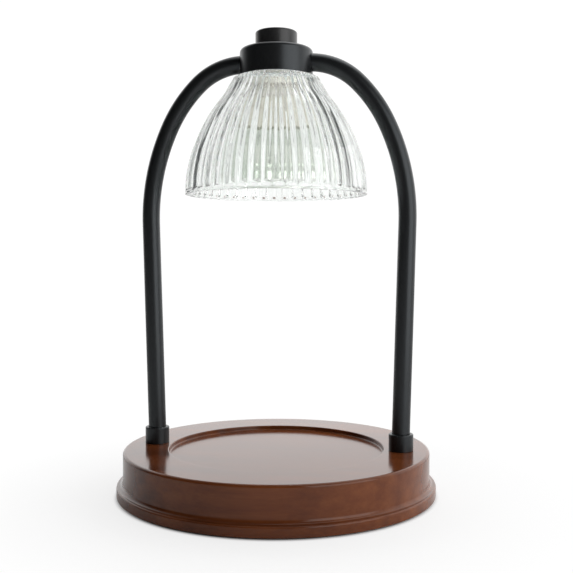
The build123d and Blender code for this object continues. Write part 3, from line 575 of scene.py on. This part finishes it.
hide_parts("collar_housing")
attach(collar, "stand")

# Shade carrier. A nickel plated steel plate that closes the collar from below, with a short
# threaded neck on which the shade hangs. Three countersunk screws hold it to the collar's bosses.
carrier_low, carrier_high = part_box("shade_carrier")
neck_radius = 14.0 * mm
neck_wall = 1.3 * mm
neck_bore = neck_radius - neck_wall
neck_seam_lift = 4.5 * mm
neck_seam = carrier_low.z + neck_seam_lift
neck_rounding = 0.3 * mm
neck_top_rounding = 0.4 * mm
carrier_segments = 120
carrier = turned("carrier", outline_through((
    (neck_bore, neck_seam - outline_gap, 0),
    (neck_bore, carrier_low.z, neck_rounding),
    (neck_radius, carrier_low.z, neck_rounding),
    (neck_radius, collar_low.z, 0),
    (carrier_high.x, collar_low.z, 0),
    (carrier_high.x, carrier_high.z, 0),
    (neck_bore, carrier_high.z, neck_top_rounding),
    (neck_bore, neck_seam + outline_gap, 0))), carrier_segments, rows_close=True)
screw_circle = 17.8 * mm
screw_seat = 2.3 * mm
screw_angles = (radians(90), radians(225), radians(315))
overrun = 1.0 * mm
screw_cutters = []
for angle in screw_angles:
    across, along = screw_circle * cos(angle), screw_circle * sin(angle)
    screw_cutters.append(rod_cutter(screw_seat, (across, along, collar_low.z - overrun),
                                    (across, along, carrier_high.z + overrun)))
bored(carrier, screw_cutters)
nickel = Finish("nickel_plate", (0.66, 0.63, 0.58), 0.22, metallic=1.0)
sheen = nickel.cloud(nickel.place(stretch=(1, 1, 6)), scale=500)
nickel.mottle(sheen, dark=(0.56, 0.54, 0.50), pale=(0.74, 0.71, 0.66), smooth=0.14, rough=0.32)
nickel_lines = nickel.cloud(nickel.place(stretch=(1, 1, 20)), scale=900, detail=2)
nickel.relief(nickel_lines, depth=0.005 * mm, strength=0.4)
nickel.coat(carrier)
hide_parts("shade_carrier")
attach(carrier, "stand")
zinc.coat(nodes["carrier_screws"])

# Gaskets. Two flat rings cut from milky silicone sheet, above and below the glass, that keep the
# metal off it. Their faint glow stands in for light that really reaches them through the glass.
gasket_white = (0.70, 0.72, 0.69)
silicone = Finish("silicone", gasket_white, 0.45, subsurface_weight=0.3, emission_strength=0.3)
haze = silicone.cloud(silicone.place(), scale=500)
silicone.mottle(haze, dark=(0.62, 0.64, 0.61), pale=(0.78, 0.80, 0.77), smooth=0.38, rough=0.55)
silicone.coat(nodes["upper_gasket"], nodes["lower_gasket"])

# Shade. A bell of clear pressed glass with round ribs outside, a smooth wall inside, a plain lip
# and a thick top plate with a hole for the neck.
glass_low, glass_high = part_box("glass_shade")
rib_count = 48
rib_rise_share = 0.034              # rise of a rib over its grooves, as a share of the radius there
rib_steps = 16
rib_root = 2.4 * mm
root_rows = 7
bell_rows = 44
rim_radius = 57.1 * mm
glass_wall = 4.05 * mm              # from the crests to the smooth inside
glass_plate = 3.4 * mm
glass_hole = 14.6 * mm
hole_rounding = 0.5 * mm
lip_height = 1.2 * mm
lip_radius = 57.3 * mm
lip_rounding = 0.6 * mm
lip_ledge = 0.1 * mm                # from the plain lip's last point up to the ribs
top_edge_drop = 0.6 * mm            # from the top down to the end of the ribs
top_edge_places = ((0.3 * mm, 0.1 * mm), (0.9 * mm, 0.0))   # in from the ribs, down from the top
mouth_places = ((0.1 * mm, 0.2 * mm), (0.5 * mm, 0.0))      # out from the inside, up from the foot
plate_rounding = 1.5 * mm
corner_share = 0.3                  # how far in from a corner its rounding's middle lies
bell_bottom = glass_low.z + lip_height
height_shares = np.array((0.0, 0.108, 0.217, 0.328, 0.439, 0.550, 0.661, 0.758, 0.845, 0.923, 1.0))
radius_shares = np.array((1.0, 0.993, 0.972, 0.937, 0.886, 0.824, 0.747, 0.663, 0.578, 0.521, 0.464))


def bell_radius(height):
    """The radius of the rib crests at each height: a cubic curve through the bell's shares.

    Between two shares the curve leaves and arrives with the slopes of the line that joins the shares
    on either side.
    """
    share = np.clip((height - bell_bottom) / (glass_high.z - bell_bottom), 0, 1)
    slopes = np.gradient(radius_shares, height_shares)
    i = np.clip(np.searchsorted(height_shares, share) - 1, 0, len(height_shares) - 2)
    gap = height_shares[i + 1] - height_shares[i]
    t = (share - height_shares[i]) / gap
    ends = radius_shares[i] * (1 + 2 * t) * (1 - t) ** 2 + radius_shares[i + 1] * t ** 2 * (3 - 2 * t)
    leaving = slopes[i] * gap * t * (1 - t) ** 2 - slopes[i + 1] * gap * t ** 2 * (1 - t)
    return rim_radius * (ends + leaving)


def shade_surface():
    """The shade as one closed grid: up the ribbed outside, over the top, down the hole and the inside.

    Round the bell the wall waves in and out: it falls from the crests by the rise times half of one
    minus the cosine of the place on the rib. The waves grow out of the plain lip with the square of a
    quarter wave's sine. The lip stands a little proud of the crests.
    """
    around = np.linspace(0, 2 * pi, rib_count * rib_steps, endpoint=False)
    wave = (1 - np.cos(rib_count * around)) / 2
    root_top = bell_bottom + rib_root
    outer_z = np.concatenate((np.linspace(bell_bottom, root_top, root_rows, endpoint=False),
                              np.linspace(root_top, glass_high.z - top_edge_drop, bell_rows)))
    grown = np.sin(np.clip((outer_z - bell_bottom) / rib_root, 0, 1) * pi / 2)[:, None] ** 2
    outside = bell_radius(outer_z)[:, None] * (1 - rib_rise_share * wave * grown)
    top_edge = bell_radius(np.array((glass_high.z,)))[0] * (1 - rib_rise_share)
    plate_z = glass_high.z - glass_plate
    inner_z = np.linspace(plate_z - plate_rounding, glass_low.z + lip_rounding, bell_rows)
    inner = bell_radius(inner_z) - glass_wall
    lip_middle, plate_middle = corner_share * lip_rounding, corner_share * plate_rounding
    plain = [(lip_radius - lip_rounding, glass_low.z), (lip_radius - lip_middle, glass_low.z + lip_middle),
             (lip_radius, glass_low.z + lip_rounding), (lip_radius, bell_bottom - lip_ledge)]
    over = [(top_edge - inward, glass_high.z - down) for inward, down in top_edge_places]
    over += [(glass_hole + hole_rounding, glass_high.z), (glass_hole, glass_high.z - hole_rounding),
             (glass_hole, plate_z + hole_rounding), (glass_hole + hole_rounding, plate_z),
             (inner[0] - plate_rounding, plate_z), (inner[0] - plate_middle, plate_z - plate_middle)]
    under = [(inner[-1] + outward, glass_low.z + up) for outward, up in mouth_places]
    plain, over, under = np.array(plain), np.array(over), np.array(under)
    radius = np.concatenate((plain[:, :1] + 0 * around, outside, over[:, :1] + 0 * around,
                             inner[:, None] + 0 * around, under[:, :1] + 0 * around))
    height = np.concatenate((plain[:, 1], outer_z, over[:, 1], inner_z, under[:, 1]))[:, None] + 0 * around
    return np.stack((radius * np.cos(around), radius * np.sin(around), height), -1)


shade = mesh_over("shade", shade_surface(), rows_close=True)
glass_tint = (0.965, 0.988, 0.972)
clear = Finish("pressed_glass", glass_tint, 0.0, ior=1.5, transmission_weight=0.96, sheen_weight=0.8,
               sheen_roughness=0.3)
ripple = clear.cloud(clear.place(stretch=(1, 1, 0.35)), scale=130, detail=2)
clear.relief(ripple, depth=0.25 * mm, strength=0.35)
clear.coat(shade)
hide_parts("glass_shade")
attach(shade, "stand")

# Ring nut. A nickel plated ring with a knurled edge that screws onto the neck from inside the
# bell and clamps the glass's top plate.
nut_low, nut_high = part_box("shade_ring_nut")
notch_count = 24
notch_radius = 0.7 * mm
notch_reach = 1.0 * mm              # how far in from the rim the outline still dips
notch_steps = 16
ring_radius = 19.5 * mm
nut_middle = (nut_low.z + nut_high.z) / 2
nut_rounding = 0.3 * mm
nut_foot_rounding = 0.4 * mm


def ring_nut_surface():
    """A ring whose rim dips to a round notch at equal steps: each dip is the notch circle's depth."""
    around = np.linspace(0, 2 * pi, notch_count * notch_steps, endpoint=False)
    step = 2 * pi / notch_count
    off = ring_radius * ((around + step / 2) % step - step / 2)
    dip = np.sqrt(np.clip(notch_radius ** 2 - off ** 2, 0, None))
    outline = outline_through((
        (neck_radius, nut_middle, 0),
        (neck_radius, nut_low.z, nut_rounding),
        (ring_radius, nut_low.z, nut_foot_rounding),
        (ring_radius, nut_high.z, nut_rounding),
        (neck_radius, nut_high.z, nut_rounding),
        (neck_radius, nut_middle + outline_gap, 0)))
    rim = np.clip((outline[:, :1] - ring_radius + notch_reach) / notch_reach, 0, 1)
    radius = outline[:, :1] - rim * dip
    return np.stack((radius * np.cos(around), radius * np.sin(around), outline[:, 1:] + 0 * around), -1)


ring_nut = mesh_over("ring_nut", ring_nut_surface(), rows_close=True)
nickel.coat(ring_nut)
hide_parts("shade_ring_nut")
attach(ring_nut, "stand")

# Lampholder. A block of unglazed steatite with slots for the bulb's two pins, brass contacts and
# leads, hung from a zinc plated bracket by two screws.
steatite = Finish("steatite", (0.80, 0.77, 0.70), 0.6)
firing = steatite.cloud(steatite.place(), scale=420, detail=4, roughness=0.6)
steatite.mottle(firing, dark=(0.72, 0.69, 0.61), pale=(0.85, 0.83, 0.77), smooth=0.5, rough=0.72)
steatite.relief(firing, depth=0.03 * mm, strength=0.5)
steatite.coat(nodes["lampholder_body"])
brass.coat(nodes["lampholder_contacts"])
zinc.coat(nodes["lampholder_bracket"], nodes["lampholder_screws"])
sheath = Finish("lead_sheath", (0.045, 0.045, 0.047), 0.55)
scuffs = sheath.cloud(sheath.place(), scale=1500, detail=2)
sheath.mottle(scuffs, dark=(0.034, 0.034, 0.036), pale=(0.058, 0.058, 0.060), smooth=0.45, rough=0.65)
sheath.coat(nodes["lamp_leads"], nodes["supply_lead"])

# Bulb base. A cream ceramic cap with a waist, cemented round the reflector's neck, and two nickel
# plated pins with round heads that lock in the holder.
cap_low, cap_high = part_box("bulb_base")
cap_radius = cap_high.x
waist_depth = 1.6 * mm
waist_radius = cap_radius - waist_depth
neck_hole = 8.65 * mm
neck_hole_depth = 9.0 * mm
neck_hole_top = cap_low.z + neck_hole_depth
cap_head_height = 7.0 * mm
cap_step = cap_high.z - cap_head_height
step_height = 0.9 * mm
step_rounding = 0.5 * mm
waist_rounding = 0.9 * mm
cap_hole_rounding = 0.3 * mm
cap_foot_rounding = 0.6 * mm
cap_top_rounding = 0.8 * mm
cap_segments = 96
cap = turned("bulb_cap", outline_through((
    (0, neck_hole_top, 0),
    (neck_hole, neck_hole_top, 0),
    (neck_hole, cap_low.z, cap_hole_rounding),
    (cap_radius, cap_low.z, cap_foot_rounding),
    (waist_radius, cap_step, waist_rounding),
    (cap_radius, cap_step + step_height, step_rounding),
    (cap_radius, cap_high.z, cap_top_rounding),
    (0, cap_high.z, 0))), cap_segments)
ceramic = Finish("bulb_ceramic", (0.84, 0.80, 0.70), 0.5)
clay = ceramic.cloud(ceramic.place(), scale=300, detail=4, roughness=0.6)
ceramic.mottle(clay, dark=(0.76, 0.72, 0.61), pale=(0.88, 0.85, 0.77), smooth=0.4, rough=0.6)
ceramic.relief(clay, depth=0.03 * mm, strength=0.4)
ceramic.coat(cap)
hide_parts("bulb_base")
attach(cap, "bulb")
nickel.coat(nodes["bulb_pins"])

# Bulb reflector. A pressed glass bowl with rows of small facets, silvered on the inside, and a
# step at its rim.
bowl_low, bowl_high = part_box("bulb_reflector")
bowl_radius = bowl_high.x
bowl_wall = 1.5 * mm
bowl_rim_height = 2.6 * mm
bowl_rim = bowl_low.z + bowl_rim_height
bowl_rim_step = 0.7 * mm
bowl_middle_radius = 19.8 * mm
bowl_middle_height = 15.0 * mm
bowl_middle = bowl_low.z + bowl_middle_height
bowl_neck_radius = 10.1 * mm
neck_outside = 8.6 * mm
neck_foot_lift = 0.2 * mm
neck_foot = cap_low.z + neck_foot_lift
facet_count = 30
facet_rows = 6
facet_steps = 6
facet_depth = 0.35 * mm
front_places = ((2.2 * mm, 0.0), (0.4 * mm, 0.0), (0.1 * mm, 0.1 * mm), (0.0, 0.4 * mm))   # in, up
step_places = ((0.0, 0.3 * mm), (0.2 * mm, 0.05 * mm))                                    # in, down


def bowl_surface():
    """The bowl as one closed grid: up the faceted outside, round the neck and down the inside.

    The bowl's radius at each height is the parabola through its rim, its middle and its neck. A facet
    bulges by its depth times the product of two half waves, one round the bowl and one up it.
    """
    around = np.linspace(0, 2 * pi, facet_count * facet_steps, endpoint=False)
    up = np.linspace(0, 1, facet_rows * facet_steps + 1)
    heights = np.array((bowl_rim, bowl_middle, cap_low.z))
    curve = np.polyfit(heights, (bowl_radius - bowl_rim_step, bowl_middle_radius, bowl_neck_radius), 2)
    z = bowl_rim + up * (cap_low.z - bowl_rim)
    wave_up, wave_round = np.abs(np.sin(pi * facet_rows * up)), np.abs(np.sin(facet_count * around / 2))
    bulge = facet_depth * wave_up[:, None] * wave_round
    outside = np.polyval(curve, z)[:, None] - facet_depth + bulge
    inside = (np.polyval(curve, z) - bowl_wall)[:, None] + bulge
    rim = [(bowl_radius - inward, bowl_low.z + rise) for inward, rise in front_places]
    rim += [(bowl_radius - inward, bowl_rim - down) for inward, down in step_places]
    neck = [(neck_outside, neck_foot), (neck_outside, bowl_high.z),
            (neck_outside - bowl_wall, bowl_high.z), (neck_outside - bowl_wall, neck_foot)]
    rim, neck = np.array(rim), np.array(neck)
    radius = np.concatenate((rim[:, :1] + 0 * around, outside, neck[:, :1] + 0 * around, inside[::-1]))
    height = np.concatenate((rim[:, 1], z, neck[:, 1], z[::-1]))[:, None] + 0 * around
    return np.stack((radius * np.cos(around), radius * np.sin(around), height), -1)


bowl = mesh_over("bulb_bowl", bowl_surface(), rows_close=True)
silvering = (0.66, 0.69, 0.64)
silver = Finish("silvered_glass", silvering, 0.12, metallic=1.0, coat_weight=0.6, coat_roughness=0.02)
tint = silver.cloud(silver.place(), scale=60, detail=2)
silver.mottle(tint, dark=(0.58, 0.63, 0.56), pale=(0.74, 0.75, 0.70), smooth=0.08, rough=0.18)
silver.coat(bowl)
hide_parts("bulb_reflector")
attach(bowl, "bulb")

# Bulb front. A clear disc of pressed glass with softened edges. It is set into the reflector's
# rim and cemented there.
front_low, front_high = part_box("bulb_lens")
front_rounding = 0.5 * mm
front_segments = 96
front = turned("bulb_front", outline_through((
    (0, front_low.z, 0),
    (front_high.x, front_low.z, front_rounding),
    (front_high.x, front_high.z, front_rounding),
    (0, front_high.z, 0))), front_segments)
window = Finish("bulb_window", (0.97, 0.98, 0.98), 0.0, ior=1.47, transmission_weight=1.0)
window.relief(window.cloud(window.place(), scale=260, detail=1), depth=0.12 * mm, strength=0.3)
window.coat(front)
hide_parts("bulb_lens")
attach(front, "bulb")

# Capsule. A small tube of clear quartz in the middle of the bowl, with a round closed tip. It is
# drawn from tubing and held in the bulb's base.
tip_low, tip_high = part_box("bulb_capsule")
quartz_wall = 1.0 * mm
quartz_outside = tip_high.x
quartz_inside = quartz_outside - quartz_wall
dome_rounding = 3.6 * mm
dome_inner_rounding = 2.8 * mm
quartz_rim_rounding = 0.2 * mm
quartz_segments = 48
capsule = turned("capsule", outline_through((
    (0, tip_low.z, 0),
    (quartz_outside, tip_low.z, dome_rounding),
    (quartz_outside, tip_high.z, quartz_rim_rounding),
    (quartz_inside, tip_high.z, 0),
    (quartz_inside, tip_low.z + quartz_wall, dome_inner_rounding),
    (0, tip_low.z + quartz_wall, 0))), quartz_segments)
quartz = Finish("quartz", (0.98, 0.98, 0.99), 0.0, ior=1.46, transmission_weight=1.0)
quartz.relief(quartz.cloud(quartz.place(), scale=500, detail=1), depth=0.03 * mm, strength=0.3)
quartz.coat(capsule)
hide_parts("bulb_capsule")
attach(capsule, "bulb")

# Filament. A coil of drawn tungsten wire in the middle of the capsule. Its ends are crimped to two
# thicker wires that come down from the bulb's base.
coil_turns = 14
coil_steps = 12
coil_radius = 0.75 * mm
coil_lift = 6.5 * mm
coil_length = 8.0 * mm
coil_low = tip_low.z + coil_lift
coil_high = coil_low + coil_length
coil_wire = 0.28 * mm
support_wire = 0.5 * mm
support_reach = 1.2 * mm
support_points = 12
wire_segments = 8
askew = np.array((0.31, 0.95, 0.05))    # a direction that no wire here runs along


def wire(name, line, thickness):
    """A round wire along a line: circles in the plane of two directions square to the line."""
    ahead = np.gradient(line, axis=0)
    ahead /= np.linalg.norm(ahead, axis=1)[:, None]
    side = np.cross(ahead, askew)
    side /= np.linalg.norm(side, axis=1)[:, None]
    over = np.cross(side, ahead)
    around = np.linspace(0, 2 * pi, wire_segments, endpoint=False)[None, :, None]
    circles = thickness / 2 * (side[:, None] * np.cos(around) + over[:, None] * np.sin(around))
    near_tip, far_tip = line[:1, None] + 0 * around, line[-1:, None] + 0 * around
    return mesh_over(name, np.concatenate((near_tip, line[:, None] + circles, far_tip)))


turn = np.linspace(0, 2 * pi * coil_turns, coil_turns * coil_steps)
coil_line = np.stack((coil_radius * np.cos(turn), coil_radius * np.sin(turn),
                      coil_low + (coil_high - coil_low) * turn / turn[-1]), 1)
way_along = np.linspace(0, 1, support_points)[:, None]
near_arm = coil_line[:1] + way_along * np.array((support_reach, 0, 0))
near_rise = near_arm[-1:] + way_along[1:] * np.array((0, 0, tip_high.z - coil_low))
near_line = np.concatenate((near_arm, near_rise))
far_line = coil_line[-1:] + way_along * np.array((0, 0, tip_high.z - coil_high))
tungsten = Finish("tungsten", (0.32, 0.31, 0.30), 0.4, metallic=1.0)
drawn = tungsten.cloud(tungsten.place(), scale=4000, detail=2)
tungsten.drive(base_color=tungsten.ramp(drawn, (0.3, (0.24, 0.23, 0.22)), (0.7, (0.40, 0.39, 0.37))))
for piece in (wire("filament", coil_line, coil_wire),
              wire("filament_support_near", near_line, support_wire),
              wire("filament_support_far", far_line, support_wire)):
    tungsten.coat(piece)
    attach(piece, "bulb")

# Dimmer. A black moulding inside the collar. Its bush passes through the collar's roof and is held
# by a washer and a nut under the knob.
shell = Finish("dimmer_moulding", (0.040, 0.040, 0.044), 0.5)
swirl = shell.cloud(shell.place(), scale=500)
shell.mottle(swirl, dark=(0.030, 0.030, 0.033), pale=(0.052, 0.052, 0.056), smooth=0.42, rough=0.6)
shell.coat(nodes["dimmer_body"])
zinc.coat(nodes["dimmer_washer"], nodes["dimmer_nut"])
nickel.coat(nodes["dimmer_shaft"])

# Knob. A hollow moulding of smooth black plastic, pressed onto the dimmer's shaft, with a pointer
# groove in its top.
knob_low, knob_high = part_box("dimmer_knob")
knob_radius = knob_high.x
knob_wall = 1.6 * mm
knob_inside = knob_radius - knob_wall
knob_roof_thickness = 1.8 * mm
knob_roof = knob_high.z - knob_roof_thickness
hub_radius = 5.0 * mm
hub_lift = 3.4 * mm
hub_low = knob_low.z + hub_lift
shaft_hole = 3.05 * mm
shaft_hole_depth = 5.6 * mm
shaft_hole_top = hub_low + shaft_hole_depth
knob_inner_rounding = 0.5 * mm
knob_mouth_rounding = 0.2 * mm
knob_foot_rounding = 0.35 * mm
knob_top_rounding = 1.2 * mm
knob_segments = 144
knob = turned("knob", outline_through((
    (0, shaft_hole_top, 0),
    (shaft_hole, shaft_hole_top, 0),
    (shaft_hole, hub_low, 0),
    (hub_radius, hub_low, knob_mouth_rounding),
    (hub_radius, knob_roof, knob_inner_rounding),
    (knob_inside, knob_roof, knob_inner_rounding),
    (knob_inside, knob_low.z, knob_mouth_rounding),
    (knob_radius, knob_low.z, knob_foot_rounding),
    (knob_radius, knob_high.z, knob_top_rounding),
    (0, knob_high.z, 0))), knob_segments)
pointer_radius = 0.5 * mm
pointer_margin = 2.0 * mm           # from the groove to the knob's axis and to its rim
pointer_lift = 0.1 * mm
pointer_height = knob_high.z + pointer_lift
bored(knob, [rod_cutter(pointer_radius, (0, -pointer_margin, pointer_height),
                        (0, pointer_margin - knob_radius, pointer_height))])
gloss = Finish("gloss_black_moulding", (0.021, 0.021, 0.0215), 0.32)
moulded = gloss.cloud(gloss.place(), scale=420)
gloss.mottle(moulded, dark=(0.018, 0.018, 0.0185), pale=(0.024, 0.024, 0.0245), smooth=0.28, rough=0.38)
gloss.relief(gloss.cloud(gloss.place(), scale=600, detail=2), depth=0.006 * mm, strength=0.4)
gloss.coat(knob)
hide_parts("dimmer_knob")
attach(knob, "knob")

# Table. A wide plain white surface that the lamp stands on. Away from the lamp it fades into the
# white background, and what the camera sees directly is lightened, so that the shadow stays soft.
table_reach = 3.0
rim_inside, rim_outside = 0.098, 0.102      # from the lamp's axis, as are the next two
fade_start, fade_end = 0.12, 0.24
rim_share, fade_share = 0.74, 0.26
backdrop_strength = 1.03
table = bpy.data.meshes.new("table")
table.from_pydata([(x, y, 0) for x, y in ((-1, -1), (1, -1), (1, 1), (-1, 1))], [], [(0, 1, 2, 3)])
table.transform(Matrix.Scale(table_reach, 4))
table_top = in_scene("table", table)
paper = Finish("white_table", (0.86, 0.86, 0.86), 0.7, specular_ior_level=0.2)
paper_cloud = paper.cloud(paper.place(), scale=3, detail=2)
paper.drive(base_color=paper.ramp(paper_cloud, (0.3, (0.86, 0.86, 0.86)), (0.7, (0.88, 0.88, 0.88))))
distance = paper.node("ShaderNodeVectorMath")
distance.operation = "LENGTH"
paper.join(paper.place(), distance.inputs[0])
near = paper.ranged(distance.outputs[1], 0.0, rim_share, rim_inside, rim_outside)
far = paper.ranged(distance.outputs[1], 0.0, fade_share, fade_start, fade_end)
fade = paper.sum_of(near, far, share=1.0)
seen = paper.node("ShaderNodeLightPath").outputs["Is Camera Ray"]
white = paper.node("ShaderNodeEmission", color=(1, 1, 1, 1), strength=backdrop_strength)
blend = paper.node("ShaderNodeMixShader")
paper.join(paper.reckon("MULTIPLY", seen, fade), blend.inputs[0])
paper.join(paper.shader.outputs[0], blend.inputs[1])
paper.join(white.outputs[0], blend.inputs[2])
paper.join(blend.outputs[0], paper.tree.nodes["Material Output"].inputs[0])
paper.coat(table_top)

# Light. A white sweep that stands behind the lamp and comes round on the right, a dark room in
# front and on the left, and two broad soft lamps, one on the right and one above.
eye_turn = radians(9.0)
sweep_turn = radians(22) - eye_turn
sweep_start, sweep_end = -0.2, 0.60
room_strength, sweep_strength = 0.02, 1.45
scene = bpy.context.scene
scene.view_settings.view_transform = "Standard"
studio = bpy.data.worlds.new("studio")
scene.world = studio
studio.use_nodes = True
sky = studio.node_tree
room = sky.nodes["Background"]
room.inputs["Color"].default_value = (1, 1, 1, 1)
direction = sky.nodes.new("ShaderNodeTexCoord")
behind = sky.nodes.new("ShaderNodeVectorMath")
behind.operation = "DOT_PRODUCT"
behind.inputs[1].default_value = (sin(sweep_turn), cos(sweep_turn), 0)
sky.links.new(direction.outputs["Generated"], behind.inputs[0])
sweep = sky.nodes.new("ShaderNodeMapRange")
sweep.interpolation_type = "SMOOTHSTEP"
sky.links.new(behind.outputs["Value"], sweep.inputs[0])
for socket, value in zip(sweep.inputs[1:5], (sweep_start, sweep_end, room_strength, sweep_strength)):
    socket.default_value = value
sky.links.new(sweep.outputs[0], room.inputs["Strength"])
backdrop = sky.nodes.new("ShaderNodeBackground")
mix = sky.nodes.new("ShaderNodeMixShader")
path = sky.nodes.new("ShaderNodeLightPath")
seen_or_through = sky.nodes.new("ShaderNodeMath")
seen_or_through.operation = "ADD"
seen_or_through.use_clamp = True
sky.links.new(path.outputs["Is Camera Ray"], seen_or_through.inputs[0])
sky.links.new(path.outputs["Transmission Depth"], seen_or_through.inputs[1])
backdrop.inputs["Color"].default_value = (1, 1, 1, 1)
backdrop.inputs["Strength"].default_value = backdrop_strength
sky.links.new(seen_or_through.outputs[0], mix.inputs[0])
sky.links.new(room.outputs[0], mix.inputs[1])
sky.links.new(backdrop.outputs[0], mix.inputs[2])
sky.links.new(mix.outputs[0], sky.nodes["World Output"].inputs[0])


def soft_lamp(name, place, aim, size, power):
    """A rectangular area lamp at a place, turned to face another."""
    lamp = bpy.data.lights.new(name, "AREA")
    lamp.shape = "RECTANGLE"
    lamp.size, lamp.size_y = size
    lamp.energy = power
    holder = in_scene(name, lamp)
    holder.location = place
    holder.rotation_euler = (Vector(aim) - Vector(place)).to_track_quat("-Z", "Y").to_euler()


soft_lamp("right_lamp", place=(0.79, -0.53, 0.30), aim=(0, 0, 0.14), size=(0.9, 1.0), power=6.4)
soft_lamp("top_lamp", place=(0.1, 0.2, 1.3), aim=(0, 0, 0.1), size=(0.9, 0.9), power=3.0)

# Camera. At the height of the arch's waist, a little to the right of the front, and tipped down
# slightly. The reach, the lens and the places come from measuring the photograph.
photo_width = 573.0
focal_pixels = 862.8
eye_reach = 545.3 * mm
eye_side = 6.37 * mm
eye_height = 146.2 * mm
eye_tip = radians(1.754)
eye = bpy.data.cameras.new("eye")
eye.sensor_width = 36.0
eye.lens = eye.sensor_width * focal_pixels / photo_width
viewer = in_scene("eye", eye)
viewer.location = (eye_side * cos(eye_turn) + eye_reach * sin(eye_turn),
                   eye_side * sin(eye_turn) - eye_reach * cos(eye_turn), eye_height)
look = Vector((-sin(eye_turn) * cos(eye_tip), cos(eye_turn) * cos(eye_tip), -sin(eye_tip)))
viewer.rotation_euler = look.to_track_quat("-Z", "Y").to_euler()
scene.camera = viewer
